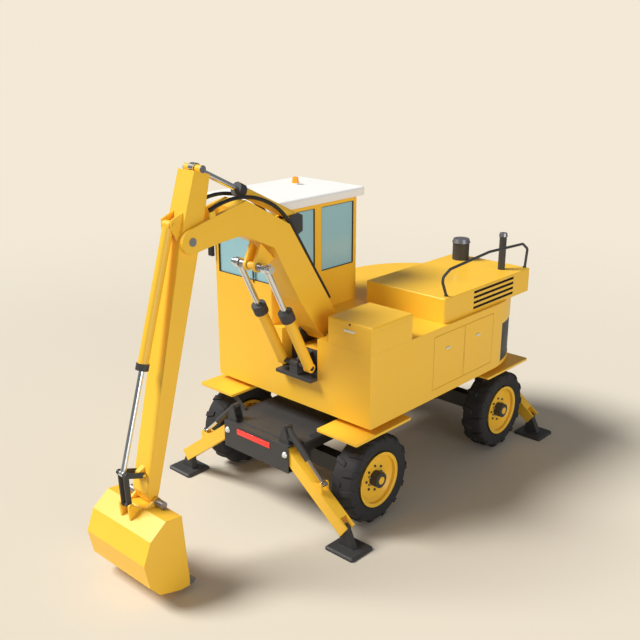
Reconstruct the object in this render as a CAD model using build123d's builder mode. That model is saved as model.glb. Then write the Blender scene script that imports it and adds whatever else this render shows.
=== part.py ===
from build123d import *
from math import asin, atan2, cos, degrees, hypot, pi, radians, sin, tan
import os

# Wheeled excavator, millimetres, +X ahead (towards the bucket), +Y to the machine's left, +Z up.
# Everything below is laid out from the slew axis at ground level, halfway between the two axles.
# The row's origin is on the ground under the middle of the whole length, FRAME_BACK ahead of the slew axis.
FRAME_BACK = 960.0

# running clearances
FLOAT = 0.3  # between pieces that only lie against each other
RUN = 0.05  # radial, between a pin and its bore
SIDE = 6.0  # beside an eye, a lug or a lid

# wheels and axles
AXLE_X = 1300.0
AXLE_Z = 536.5
TYRE_MID_Y = 1085.0
TYRE_SIDES = 28
TREAD_HALF = 142.0
LUGS_A_SIDE = 14
LUG_WIDE = 66.0
LUG_LEAN = 16.0
FLANGE_R = 328.0
RIM_R = 300.0
RIM_WALL = 12.0
RIM_HALF = 155.0
DISC_OUT = 108.0  # outer face of the wheel disc, outboard of the tyre's middle
DISC_THICK = 16.0
HUB_R = 92.0
HUB_BACK_R = 80.0
HUB_OUT = 178.0
CAP_R = 46.0
CAP_OUT = 9.0
SPINDLE_R = 45.0
SPINDLE_END = 60.0
BEAM_WIDE = 150.0
BEAM_TALL = 200.0
DIFF_R = 148.0
KINGPIN_Y = 1000.0
KINGPIN_R = 28.0
KNUCKLE_R = 62.0
KNUCKLE_TALL = 150.0
FORK_THICK = 34.0

# chassis
FRAME_HALF_X = 1850.0
FRAME_HALF_Y = 380.0
FRAME_Z0 = 700.0
FRAME_TOP = 985.0
PLATE_HALF_Y = 590.0
PLATE_THICK = 25.0
RING_R = 520.0
RING_SPLIT_Z = 1110.0
FENDER_X0 = AXLE_X - 490.0
FENDER_X1 = FRAME_HALF_X - 70.0
FENDER_Y0 = 700.0
FENDER_Y1 = 1293.0
FENDER_Z = 1135.0
FENDER_THICK = 30.0
BRACKET_IN = 75.0  # each bracket's middle from the fender's end

# stabilisers: a box across each end, a leg at each corner
BOX_X0 = FRAME_HALF_X
BOX_X1 = BOX_X0 + 211.0
BOX_HALF_Y = 532.0
BOX_Z0 = 654.0
BOX_WALL = 14.0
BOX_CORE_Y = 300.0
RIDGE_X = BOX_X0 + 116.0
RIDGE_TALL = 12.0
LEG_Y = 480.0
LEG_Z = 869.0
LEG_X0 = BOX_X0 + 46.0
LEG_X1 = BOX_X1 - 21.0
LEG_HALF = 75.0
LEG_LONG = 1076.0
LEG_PIN_R = 30.0
FOOT_PIN_AT = LEG_LONG - 36.0
FOOT_PIN_Z = 247.5  # over the ground, with the pad down
FOOT_PIN_R = 22.0
FOOT_SLOT = 92.0
FOOT_SLOT_LONG = 140.0
PAD_HALF_X = 180.0
PAD_HALF_Y = 200.0
PAD_PAST_PIN = 51.0  # from the foot's pin out to the pad's middle
PAD_THICK = 42.0
PAD_LUG_WIDE = 78.0
LEG_RAM_Y = 430.0
LEG_RAM_Z = 1165.0
LEG_EYE_AT = 533.0  # along the leg
LEG_EYE_UP = 130.0  # above the leg's middle line
LEG_BARREL_R = 38.0
LEG_BARREL_LONG = 441.0
LEG_ROD_R = 20.0
LEG_EYE_R = 30.0
LEG_EYE_WIDE = 78.0
LEG_LUG_THICK = 14.0
LEG_RAM_PIN_R = 16.0
LEG_RAM_PIN_HALF = 62.0
HITCH_Z = 800.0
HITCH_OUT = 100.0
HITCH_R = 58.0
HITCH_PIN_R = 20.0
HITCH_GAP = 60.0
HITCH_THICK = 30.0

# house
HOUSE_Z0 = 1228.0
DECK_Z = 2095.0
HOUSE_FRONT = 1500.0
HOUSE_HALF_Y = 1250.0
TAIL_X = -970.0
BOOM_Y = 180.0
SLOT_HALF = 280.0
SLOT_X = 1300.0
SLOT_Z0 = 1590.0
HEEL_SLOT_X = 860.0
HEEL_SLOT_HALF = 230.0
HEEL_SLOT_Z = 1860.0
DOOR_Z0 = 1345.0
DOOR_Z1 = 2000.0
DOOR_GAP = 5.0
DOOR_THICK = 32.0
DOOR_EDGES = (-920.0, -280.0, 360.0)
BAY_Y0 = 330.0
BAY_Y1 = 1196.0
WEIGHT_Z0 = 1280.0
WEIGHT_Z1 = 1800.0
WEIGHT_DEEP = 130.0

# hood, toolbox and stacks on the deck
HOOD_X0 = -1815.0
HOOD_X1 = 113.0
HOOD_Y0 = 10.0
HOOD_Y1 = 1206.0
HOOD_TOP = 2405.0
LOUVRE_X0 = -1415.0
LOUVRE_X1 = -500.0
LOUVRE_ZS = (2155.0, 2221.0, 2287.0, 2353.0)
BIN_X0 = 782.0
BIN_Y0 = 616.0
BIN_TOP = 2405.0
BIN_WALL = 18.0
LID_TALL = 62.0

# cab
CAB_X0 = 0.0
CAB_Y1 = -256.0
CAB_TOP = 3440.0
CAB_WALL = 50.0
SILL_Z = 2582.0
HEAD_Z = 3375.0
GLASS = 6.0
CAB_DOOR_X0 = 560.0
CAB_DOOR_X1 = 1430.0
CAB_DOOR_Z0 = 2185.0
CAB_DOOR_Z1 = 3390.0
ROOF_X0 = -75.0
ROOF_X1 = 1570.0
ROOF_Y0 = -1335.0
ROOF_Y1 = -176.0
ROOF_TOP = 3545.0

# boom, arm and bucket in the plane of the boom, as (x, z)
BOOM_HALF = 170.0
CHEEK = 40.0
FORK_X = 2600.0
HEEL = (1100.0, 2045.0)
HEEL_R = 118.0
TIP = (3117.0, 3470.0)
TIP_R = 122.0
RAM_BASE = (1560.0, 1752.0)
RAM_HEAD = (2200.0, 3035.0)
RAM_SIDE = 210.0  # each ram's middle from the boom's
LIFT_ROD_R = 34.0
HEAD_PIN_R = 40.0
HEAD_PIN_HALF = 290.0
HEAD_EYE_R = 56.0
HEAD_EYE_HALF = 30.0
PIN_SPLIT = 2.0  # between the two parts of a pin at an open eye
ARM_RAM_BASE = (1580.0, 3462.0)
ARM_RAM_HEAD = (2921.0, 4137.0)
ARM_PIN_R = 37.0
ARM_PIN_HALF = 130.0
ARM_EYE_R = 52.0
ARM_SLOT_HALF = 42.0
ARM_HALF = 122.0
BUCKET_PIN = (3712.0, 925.0)
BUCKET_PIN_R = 30.0
ARM_FOOT_R = 38.0
BUCKET_RAM_BASE = (3262.0, 3640.0)
ROCKER_PIN = (3786.0, 1217.0)
LINK_TOP = (3978.0, 1285.0)
LINK_FOOT = (3962.0, 940.0)
LINK_EYE_R = 31.0
ROD_EYE_HALF = 30.0
BUCKET_HALF = 481.0
BUCKET_WALL = 26.0

# arm hoses
HOSE_R = 20.0
HOSE_SIDE = 150.0  # each hose's middle from the boom's


def save(solid, name):
    """Puts a finished piece in the row's frame and writes it as its own node."""
    piece = solid.moved(Location((-FRAME_BACK, 0, 0)))
    piece.label = name
    export_step(piece, f"parts/{name}.step")


def corner(solid, ahead, left):
    """The same piece at another corner of the machine, made from the front left one."""
    if not ahead:
        solid = mirror(solid, about=Plane.YZ)
    if not left:
        solid = mirror(solid, about=Plane.XZ)
    return solid


def along(start, end, y):
    """A plane at start, facing end, for what runs along a line in the plane of the boom."""
    reach = Vector(end[0] - start[0], 0, end[1] - start[1])
    return Plane(origin=(start[0], y, start[1]), x_dir=(0, 1, 0), z_dir=reach)


def upright(y):
    """The plane of the boom, moved to y: its sketch is (x, z), and it faces the machine's right."""
    return Plane(origin=(0, y, 0), x_dir=(1, 0, 0), z_dir=(0, -1, 0))


def across(x):
    """A plane across the machine at x: its sketch is (y, z), and it faces ahead."""
    return Plane(origin=(x, 0, 0), x_dir=(0, 1, 0), z_dir=(1, 0, 0))


def span(start, end):
    """How far two points in a plane stand apart."""
    return hypot(end[0] - start[0], end[1] - start[1])


CORNERS = (  # name, ahead, left
    ("front_left", True, True),
    ("front_right", True, False),
    ("rear_left", False, True),
    ("rear_right", False, False),
)

os.makedirs("parts", exist_ok=True)

# ---------------------------------------------------------------- wheels

wheel_plane = Plane(origin=(AXLE_X, TYRE_MID_Y, AXLE_Z), x_dir=(1, 0, 0), z_dir=(0, 1, 0))

# (offset from the middle, radius) of the carcass, inboard to outboard
CARCASS = ((-158.0, 436.0), (-TREAD_HALF, 496.0), (TREAD_HALF, 496.0), (158.0, 436.0))
# (offset from the middle, radius) round one lug, from near the middle out over the shoulder
LUG = ((6.0, 488.0), (6.0, 526.0), (128.0, 534.0), (163.0, 470.0), (150.0, 440.0))

with BuildPart() as tyre:
    for out, radius in CARCASS:
        with BuildSketch(wheel_plane.offset(out)):
            RegularPolygon(radius, TYRE_SIDES)
    loft(ruled=True)
    for side in (1, -1):
        first = 90.0 if side > 0 else 90.0 + 180.0 / LUGS_A_SIDE
        for k in range(LUGS_A_SIDE):
            turn = first + k * 360.0 / LUGS_A_SIDE
            spoke = Plane(wheel_plane.location * Location((0, 0, 0), (0, 0, turn)))
            lean = Plane(spoke.location * Location((0, 0, 0), (side * LUG_LEAN, 0, 0)))
            with BuildSketch(Plane(origin=lean.origin, x_dir=lean.z_dir * side, z_dir=lean.y_dir)):
                with BuildLine():
                    Polyline(*LUG, close=True)
                make_face()
            extrude(amount=LUG_WIDE / 2, both=True)
    with BuildSketch(wheel_plane.offset(-200)):
        RegularPolygon(FLANGE_R + FLOAT, TYRE_SIDES, major_radius=False)
    extrude(amount=400, mode=Mode.SUBTRACT)

# (radius, offset from the middle) of the rim, disc and hub
RIM = (
    (0, HUB_OUT), (HUB_R, HUB_OUT), (HUB_R, DISC_OUT - 30), (RIM_R - 60, DISC_OUT - 30), (RIM_R - RIM_WALL, DISC_OUT),
    (RIM_R - RIM_WALL, RIM_HALF - 8), (FLANGE_R - 14, RIM_HALF), (FLANGE_R, RIM_HALF), (FLANGE_R, RIM_HALF - 10),
    (RIM_R, RIM_HALF - 10), (RIM_R, -RIM_HALF + 10), (FLANGE_R, -RIM_HALF + 10), (FLANGE_R, -RIM_HALF),
    (RIM_R - RIM_WALL, -RIM_HALF), (RIM_R - RIM_WALL, DISC_OUT - DISC_THICK - 4),
    (RIM_R - 60, DISC_OUT - 30 - DISC_THICK), (HUB_BACK_R, DISC_OUT - 30 - DISC_THICK), (HUB_BACK_R, 0), (0, 0),
)

with BuildPart() as rim:
    with BuildSketch(Plane(origin=(AXLE_X, TYRE_MID_Y, AXLE_Z), x_dir=(1, 0, 0), z_dir=(0, 0, 1))):
        with BuildLine():
            Polyline(*RIM, close=True)
        make_face()
    revolve(axis=Axis((AXLE_X, TYRE_MID_Y, AXLE_Z), (0, 1, 0)))
    with BuildSketch(wheel_plane.offset(HUB_OUT)):
        Circle(CAP_R)
    extrude(amount=CAP_OUT)
    with BuildSketch(wheel_plane.offset(DISC_OUT - 30)):
        with PolarLocations(150, 8):
            RegularPolygon(15, 6)
    extrude(amount=14)
    with BuildSketch(wheel_plane.offset(SPINDLE_END + 2)):
        Circle(SPINDLE_R + RUN)
    extrude(amount=-SPINDLE_END - 3, mode=Mode.SUBTRACT)

for name, ahead, left in CORNERS:
    save(corner(tyre.part, ahead, left), f"tyre_{name}")
    save(corner(rim.part, ahead, left), f"rim_{name}")

# ---------------------------------------------------------------- axles and knuckles

spindle_plane = Plane(origin=(AXLE_X, 0, AXLE_Z), x_dir=(1, 0, 0), z_dir=(0, 1, 0))

with BuildPart() as knuckle:
    with BuildSketch(Plane.XY.offset(AXLE_Z - KNUCKLE_TALL / 2)):
        with Locations((AXLE_X, KINGPIN_Y)):
            Circle(KNUCKLE_R)
    extrude(amount=KNUCKLE_TALL)
    with BuildSketch(spindle_plane.offset(KINGPIN_Y)):
        Circle(SPINDLE_R)
    extrude(amount=TYRE_MID_Y + SPINDLE_END - KINGPIN_Y)
    with BuildSketch(Plane.XY.offset(AXLE_Z - KNUCKLE_TALL / 2)):
        with Locations((AXLE_X, KINGPIN_Y)):
            Circle(KINGPIN_R + RUN)
    extrude(amount=KNUCKLE_TALL, mode=Mode.SUBTRACT)

save(knuckle.part, "knuckle_left")
save(corner(knuckle.part, True, False), "knuckle_right")

fork_z = AXLE_Z + KNUCKLE_TALL / 2 + SIDE / 2

with BuildPart() as axles:
    for x in (AXLE_X, -AXLE_X):
        beam_end = KINGPIN_Y - KNUCKLE_R - 26 if x > 0 else TYRE_MID_Y - 40
        with BuildSketch(across(x - BEAM_WIDE / 2)):
            with Locations((0, AXLE_Z)):
                RectangleRounded(2 * beam_end, BEAM_TALL, 20)
        extrude(amount=BEAM_WIDE)
        with BuildSketch(Plane(origin=(x, -170, AXLE_Z), x_dir=(1, 0, 0), z_dir=(0, 1, 0))):
            Circle(DIFF_R)
        extrude(amount=340)
        with BuildSketch(Plane.XY.offset(AXLE_Z)):
            with Locations((x, 260), (x, -260)):
                Rectangle(BEAM_WIDE, 90)
        extrude(amount=FRAME_Z0 - AXLE_Z)
    for y in (KINGPIN_Y, -KINGPIN_Y):
        inner = KINGPIN_Y - KNUCKLE_R - 60
        for low in (fork_z, 2 * AXLE_Z - fork_z - FORK_THICK):
            with BuildSketch(Plane.XY.offset(low)):
                with Locations((AXLE_X, y)):
                    Circle(KNUCKLE_R - 6)
                with Locations((AXLE_X, (y + (inner if y > 0 else -inner)) / 2)):
                    Rectangle(2 * KNUCKLE_R - 12, KINGPIN_Y - inner)
            extrude(amount=FORK_THICK)
        with BuildSketch(Plane.XY.offset(2 * AXLE_Z - fork_z - FORK_THICK)):
            with Locations((AXLE_X, y)):
                Circle(KINGPIN_R)
        extrude(amount=2 * (fork_z - AXLE_Z + FORK_THICK))
        with BuildSketch(Plane(origin=(-AXLE_X, y, AXLE_Z), x_dir=(1, 0, 0), z_dir=(0, y, 0))):
            Circle(SPINDLE_R)
        extrude(amount=TYRE_MID_Y + SPINDLE_END - KINGPIN_Y)

save(axles.part, "axles")

# ---------------------------------------------------------------- chassis

with BuildPart() as chassis_frame:
    with BuildSketch(Plane.XY.offset(FRAME_Z0)):
        Rectangle(2 * FRAME_HALF_X, 2 * FRAME_HALF_Y)
    extrude(amount=FRAME_TOP - FRAME_Z0)
    with BuildSketch(Plane.XY.offset(FRAME_TOP - PLATE_THICK)):
        Rectangle(2 * FRAME_HALF_X, 2 * PLATE_HALF_Y)
    extrude(amount=PLATE_THICK)
    with BuildSketch(Plane.XY.offset(FRAME_TOP)):
        Circle(RING_R)
    extrude(amount=RING_SPLIT_Z - FRAME_TOP)
    for x in (-FENDER_X1 + BRACKET_IN, -FENDER_X0 - BRACKET_IN, FENDER_X0 + BRACKET_IN, FENDER_X1 - BRACKET_IN):
        for side in (1, -1):
            with BuildSketch(across(x - 10)):
                with BuildLine():
                    Polyline(
                        (side * 540, FRAME_TOP), (side * 590, FRAME_TOP), (side * 760, FENDER_Z - 30),
                        (side * 760, FENDER_Z), (side * 704, FENDER_Z), (side * 540, FRAME_TOP + 30), close=True,
                    )
                make_face()
            extrude(amount=20)

save(chassis_frame.part, "chassis_frame")

with BuildPart() as fenders:
    for x0 in (FENDER_X0, -FENDER_X1):
        for y0 in (FENDER_Y0, -FENDER_Y1):
            with BuildSketch(Plane.XY.offset(FENDER_Z)):
                with Locations((x0 + (FENDER_X1 - FENDER_X0) / 2, y0 + (FENDER_Y1 - FENDER_Y0) / 2)):
                    RectangleRounded(FENDER_X1 - FENDER_X0, FENDER_Y1 - FENDER_Y0, 22)
            extrude(amount=FENDER_THICK)

save(fenders.part, "fenders")

# ---------------------------------------------------------------- stabilisers

leg_mid_x = (LEG_X0 + LEG_X1) / 2
drop = asin((LEG_Z - FOOT_PIN_Z) / FOOT_PIN_AT)
leg_ahead = (cos(drop), -sin(drop))
leg_up = (sin(drop), cos(drop))


def on_leg(far, up):
    """(y, z) of a point of the front left leg: far along it, and up from its middle line."""
    return (
        LEG_Y + far * leg_ahead[0] + up * leg_up[0],
        LEG_Z + far * leg_ahead[1] + up * leg_up[1],
    )


leg_eye = on_leg(LEG_EYE_AT, LEG_EYE_UP)
foot_pin = on_leg(FOOT_PIN_AT, 0)
pad_y = foot_pin[0] + PAD_PAST_PIN
ram_reach = Vector(0, leg_eye[0] - LEG_RAM_Y, leg_eye[1] - LEG_RAM_Z)

with BuildPart() as stabiliser_boxes:
    with BuildSketch(across(BOX_X0)):
        with Locations((0, (BOX_Z0 + FRAME_TOP) / 2)):
            Rectangle(2 * BOX_HALF_Y, FRAME_TOP - BOX_Z0)
    extrude(amount=BOX_X1 - BOX_X0)
    with BuildSketch(Plane.XY.offset(FRAME_TOP)):
        with Locations(((BOX_X0 + RIDGE_X) / 2, 0)):
            Rectangle(RIDGE_X - BOX_X0, 2 * BOX_HALF_Y)
    extrude(amount=RIDGE_TALL)
    for side in (1, -1):
        # the legs swing in the box's open ends
        with BuildSketch(across(BOX_X0 + BOX_WALL)):
            with Locations((side * (BOX_CORE_Y + BOX_HALF_Y + 10) / 2, (BOX_Z0 + FRAME_TOP) / 2)):
                Rectangle(BOX_HALF_Y + 10 - BOX_CORE_Y, FRAME_TOP - BOX_Z0 - 2 * BOX_WALL)
        extrude(amount=BOX_X1 - BOX_X0 - 2 * BOX_WALL, mode=Mode.SUBTRACT)
        with BuildSketch(across(BOX_X0 + 2)):
            with Locations((side * LEG_Y, LEG_Z)):
                Circle(LEG_PIN_R)
        extrude(amount=BOX_X1 - BOX_X0 - 2)
        with BuildSketch(across(BOX_X1)):
            with Locations((side * LEG_Y, LEG_Z)):
                Circle(LEG_PIN_R + 8)
        extrude(amount=20, taper=35)
        # tower for the leg's ram
        for plate in (leg_mid_x - LEG_EYE_WIDE / 2 - SIDE - LEG_LUG_THICK, leg_mid_x + LEG_EYE_WIDE / 2 + SIDE):
            with BuildSketch(across(plate)):
                with BuildLine():
                    Polyline(
                        (side * 350, FRAME_TOP - 5), (side * 515, FRAME_TOP - 5), (side * (LEG_RAM_Y + 30), LEG_RAM_Z),
                        (side * (LEG_RAM_Y - 30), LEG_RAM_Z), close=True,
                    )
                make_face()
                with Locations((side * LEG_RAM_Y, LEG_RAM_Z)):
                    Circle(30)
            extrude(amount=LEG_LUG_THICK)
        with BuildSketch(across(leg_mid_x - LEG_RAM_PIN_HALF)):
            with Locations((side * LEG_RAM_Y, LEG_RAM_Z)):
                Circle(LEG_RAM_PIN_R)
        extrude(amount=2 * LEG_RAM_PIN_HALF)
    mirror(about=Plane.YZ)
    # tow hitch: a jaw on the rear box with an upright pin hole
    for z in (HITCH_Z - HITCH_GAP / 2 - HITCH_THICK, HITCH_Z + HITCH_GAP / 2):
        with BuildSketch(Plane.XY.offset(z)):
            with Locations((-BOX_X1 - (HITCH_OUT - 5) / 2, 0)):
                Rectangle(HITCH_OUT + 5, 2 * HITCH_R)
            with Locations((-BOX_X1 - HITCH_OUT, 0)):
                Circle(HITCH_R)
                Circle(HITCH_PIN_R, mode=Mode.SUBTRACT)
        extrude(amount=HITCH_THICK)

save(stabiliser_boxes.part, "stabiliser_boxes")

with BuildPart() as leg:
    with BuildSketch(across(LEG_X0)):
        with BuildLine():
            Polyline(
                on_leg(0, LEG_HALF), on_leg(LEG_LONG, LEG_HALF), on_leg(LEG_LONG, -LEG_HALF), on_leg(0, -LEG_HALF),
                close=True,
            )
        make_face()
        with Locations((LEG_Y, LEG_Z)):
            Circle(LEG_HALF)
            Circle(LEG_PIN_R + RUN, mode=Mode.SUBTRACT)
    extrude(amount=LEG_X1 - LEG_X0)
    with BuildSketch(across(leg_mid_x - FOOT_SLOT / 2)):
        with BuildLine():
            Polyline(
                on_leg(LEG_LONG - FOOT_SLOT_LONG, LEG_HALF + 1), on_leg(LEG_LONG + 1, LEG_HALF + 1),
                on_leg(LEG_LONG + 1, -LEG_HALF - 1), on_leg(LEG_LONG - FOOT_SLOT_LONG, -LEG_HALF - 1), close=True,
            )
        make_face()
    extrude(amount=FOOT_SLOT, mode=Mode.SUBTRACT)
    with BuildSketch(across(LEG_X0)):
        with Locations(foot_pin):
            Circle(FOOT_PIN_R)
    extrude(amount=LEG_X1 - LEG_X0)
    for plate in (leg_mid_x - LEG_EYE_WIDE / 2 - SIDE - LEG_LUG_THICK, leg_mid_x + LEG_EYE_WIDE / 2 + SIDE):
        with BuildSketch(across(plate)):
            with BuildLine():
                Polyline(
                    on_leg(LEG_EYE_AT - 85, LEG_HALF - 2), on_leg(LEG_EYE_AT + 85, LEG_HALF - 2),
                    on_leg(LEG_EYE_AT + 26, LEG_EYE_UP), on_leg(LEG_EYE_AT - 26, LEG_EYE_UP), close=True,
                )
            make_face()
            with Locations(leg_eye):
                Circle(28)
        extrude(amount=14)
    # the ram's pin shows at each lug only, so that its open eye can drift between them
    for start in (leg_mid_x - LEG_RAM_PIN_HALF, leg_mid_x + LEG_EYE_WIDE / 2 + SIDE):
        with BuildSketch(across(start)):
            with Locations(leg_eye):
                Circle(LEG_RAM_PIN_R)
        extrude(amount=LEG_RAM_PIN_HALF - LEG_EYE_WIDE / 2 - SIDE)

with BuildPart() as pad:
    with BuildSketch(Plane.XY):
        with Locations((leg_mid_x, pad_y)):
            RectangleRounded(2 * PAD_HALF_X, 2 * PAD_HALF_Y, 26)
    extrude(amount=PAD_THICK)
    chamfer(pad.faces().sort_by(Axis.Z)[-1].edges(), 16)
    with BuildSketch(across(leg_mid_x - PAD_LUG_WIDE / 2)):
        with BuildLine():
            Polyline(
                (pad_y - 110, PAD_THICK - 2), (pad_y + 90, PAD_THICK - 2), (foot_pin[0] + 40, foot_pin[1]),
                (foot_pin[0] - 40, foot_pin[1]), close=True,
            )
        make_face()
        with Locations(foot_pin):
            Circle(41)
            Circle(FOOT_PIN_R + RUN, mode=Mode.SUBTRACT)
    extrude(amount=PAD_LUG_WIDE)

ram_plane = Plane(origin=(leg_mid_x, LEG_RAM_Y, LEG_RAM_Z), x_dir=(1, 0, 0), z_dir=ram_reach)

with BuildPart() as leg_barrel:
    with BuildSketch(ram_plane.offset(24)):
        Circle(LEG_BARREL_R)
    extrude(amount=LEG_BARREL_LONG - 24)
    with BuildSketch(across(leg_mid_x - LEG_EYE_WIDE / 2)):
        with Locations((LEG_RAM_Y, LEG_RAM_Z)):
            Circle(LEG_EYE_R + 2)
    extrude(amount=LEG_EYE_WIDE)
    with BuildSketch(ram_plane.offset(60)):
        Circle(LEG_ROD_R + RUN)
    extrude(amount=LEG_BARREL_LONG, mode=Mode.SUBTRACT)
    with BuildSketch(across(leg_mid_x - LEG_EYE_WIDE)):
        with Locations((LEG_RAM_Y, LEG_RAM_Z)):
            Circle(LEG_RAM_PIN_R + RUN)
    extrude(amount=2 * LEG_EYE_WIDE, mode=Mode.SUBTRACT)

with BuildPart() as leg_rod:
    with BuildSketch(ram_plane.offset(LEG_BARREL_LONG - 90)):
        Circle(LEG_ROD_R)
    extrude(amount=ram_reach.length - LEG_BARREL_LONG + 90)
    with BuildSketch(across(leg_mid_x - LEG_EYE_WIDE / 2)):
        with Locations(leg_eye):
            Circle(LEG_EYE_R)
    extrude(amount=LEG_EYE_WIDE)

for name, ahead, left in CORNERS:
    save(corner(leg.part, ahead, left), f"leg_{name}")
    save(corner(pad.part, ahead, left), f"pad_{name}")
    save(corner(leg_barrel.part, ahead, left), f"leg_barrel_{name}")
    save(corner(leg_rod.part, ahead, left), f"leg_rod_{name}")

# ---------------------------------------------------------------- house

with BuildPart() as house_body:
    with BuildSketch(Plane.XY.offset(HOUSE_Z0)):
        with Locations(((TAIL_X + HOUSE_FRONT) / 2, 0)):
            Rectangle(HOUSE_FRONT - TAIL_X, 2 * HOUSE_HALF_Y)
        with Locations((TAIL_X, 0)):
            Circle(HOUSE_HALF_Y)
    extrude(amount=DECK_Z - HOUSE_Z0)
    fillet(house_body.edges().filter_by(Axis.Z).sort_by(Axis.X)[-2:], 22)
    with BuildSketch(Plane.XY.offset(RING_SPLIT_Z + FLOAT)):
        Circle(RING_R)
    extrude(amount=HOUSE_Z0 - RING_SPLIT_Z - FLOAT)
    # slot in the front for the boom's pedestal, and a deeper one for the boom's heel
    with BuildSketch(Plane.XY.offset(SLOT_Z0)):
        with Locations(((SLOT_X + HOUSE_FRONT + 40) / 2, BOOM_Y)):
            Rectangle(HOUSE_FRONT + 40 - SLOT_X, 2 * SLOT_HALF)
    extrude(amount=DECK_Z - SLOT_Z0 + 1, mode=Mode.SUBTRACT)
    with BuildSketch(Plane.XY.offset(HEEL_SLOT_Z)):
        with Locations(((HEEL_SLOT_X + SLOT_X + 2) / 2, BOOM_Y)):
            Rectangle(SLOT_X + 2 - HEEL_SLOT_X, 2 * HEEL_SLOT_HALF)
    extrude(amount=DECK_Z - HEEL_SLOT_Z + 1, mode=Mode.SUBTRACT)
    # engine bay behind the two side doors
    with BuildSketch(Plane.XY.offset(DOOR_Z0 + 20)):
        with Locations(((DOOR_EDGES[0] + DOOR_EDGES[2]) / 2, (BAY_Y0 + BAY_Y1) / 2)):
            Rectangle(DOOR_EDGES[2] - DOOR_EDGES[0] - 70, BAY_Y1 - BAY_Y0)
    extrude(amount=DOOR_Z1 - DOOR_Z0 - 40, mode=Mode.SUBTRACT)
    for x0, x1 in zip(DOOR_EDGES, DOOR_EDGES[1:]):
        with BuildSketch(Plane.XY.offset(DOOR_Z0 - DOOR_GAP)):
            with Locations(((x0 + x1) / 2, HOUSE_HALF_Y - DOOR_THICK - FLOAT + 30)):
                Rectangle(x1 - x0 - 2 * DOOR_GAP, 60)
        extrude(amount=DOOR_Z1 - DOOR_Z0 + 2 * DOOR_GAP, mode=Mode.SUBTRACT)
        with BuildSketch(Plane.XY.offset(DOOR_Z0 + 20)):
            with Locations(((x0 + x1) / 2, BAY_Y1)):
                Rectangle(x1 - x0 - 60, 100)
        extrude(amount=DOOR_Z1 - DOOR_Z0 - 40, mode=Mode.SUBTRACT)
    # recess round the tail for the counterweight
    with BuildSketch(Plane.XY.offset(WEIGHT_Z0 - FLOAT)):
        with Locations((TAIL_X, 0)):
            Circle(HOUSE_HALF_Y + 20)
            Circle(HOUSE_HALF_Y - WEIGHT_DEEP - FLOAT, mode=Mode.SUBTRACT)
        with Locations((TAIL_X + 1500 - 190 + FLOAT, 0)):
            Rectangle(3000, 3000, mode=Mode.SUBTRACT)
    extrude(amount=WEIGHT_Z1 - WEIGHT_Z0 + 2 * FLOAT, mode=Mode.SUBTRACT)

save(house_body.part, "house_body")

with BuildPart() as counterweight:
    with BuildSketch(Plane.XY.offset(WEIGHT_Z0)):
        with Locations((TAIL_X, 0)):
            Circle(HOUSE_HALF_Y - 6)
            Circle(HOUSE_HALF_Y - WEIGHT_DEEP, mode=Mode.SUBTRACT)
        with Locations((TAIL_X + 1500 - 190, 0)):
            Rectangle(3000, 3000, mode=Mode.SUBTRACT)
    extrude(amount=WEIGHT_Z1 - WEIGHT_Z0)

save(counterweight.part, "counterweight")

with BuildPart() as boom_pedestal:
    # back plate, sill and the boom's two heel plates
    with BuildSketch(Plane.XY.offset(SLOT_Z0 + FLOAT)):
        with Locations((SLOT_X + FLOAT + 20, BOOM_Y)):
            Rectangle(40, 2 * SLOT_HALF - 2 * FLOAT)
    extrude(amount=HEEL_SLOT_Z - SLOT_Z0)
    with BuildSketch(Plane.XY.offset(SLOT_Z0 + FLOAT)):
        with Locations(((SLOT_X + 1612) / 2 + FLOAT, BOOM_Y)):
            Rectangle(1612 - SLOT_X - 2 * FLOAT, 2 * SLOT_HALF - 2 * FLOAT)
    extrude(amount=40)
    with BuildSketch(upright(BOOM_Y + 60)):
        with BuildLine():
            Polyline(
                (SLOT_X + 20, SLOT_Z0 + 20), (1605, SLOT_Z0 + 20), (1605, 1700), (1600, RAM_BASE[1]), (1520, RAM_BASE[1]),
                (1400, 1840), (SLOT_X + 20, 1860), close=True,
            )
        make_face()
        with Locations(RAM_BASE):
            Circle(48)
    extrude(amount=120)
    with BuildSketch(Plane(origin=(RAM_BASE[0], BOOM_Y - RAM_SIDE - 50, RAM_BASE[1]), x_dir=(1, 0, 0), z_dir=(0, 1, 0))):
        Circle(30)
    extrude(amount=2 * RAM_SIDE + 100)
    for y in (BOOM_Y - HEEL_SLOT_HALF + FLOAT, BOOM_Y + HEEL_SLOT_HALF - 36 - FLOAT):
        with BuildSketch(Plane(origin=(0, y, 0), x_dir=(1, 0, 0), z_dir=(0, -1, 0)).offset(-36)):
            with BuildLine():
                Polyline(
                    (HEEL_SLOT_X + 30, HEEL_SLOT_Z + FLOAT), (SLOT_X + FLOAT, HEEL_SLOT_Z + FLOAT),
                    (SLOT_X + FLOAT, SLOT_Z0 + 20), (SLOT_X + 40, SLOT_Z0 + 20), (SLOT_X + 40, 2010), (HEEL[0] + 70, 2120), (HEEL[0] - 70, 2120), (HEEL_SLOT_X + 30, 1980), close=True,
                )
            make_face()
        extrude(amount=36)
    with BuildSketch(Plane(origin=(HEEL[0], BOOM_Y - HEEL_SLOT_HALF + 4, HEEL[1]), x_dir=(1, 0, 0), z_dir=(0, 1, 0))):
        Circle(40)
    extrude(amount=2 * HEEL_SLOT_HALF - 8)

save(boom_pedestal.part, "boom_pedestal")

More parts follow.
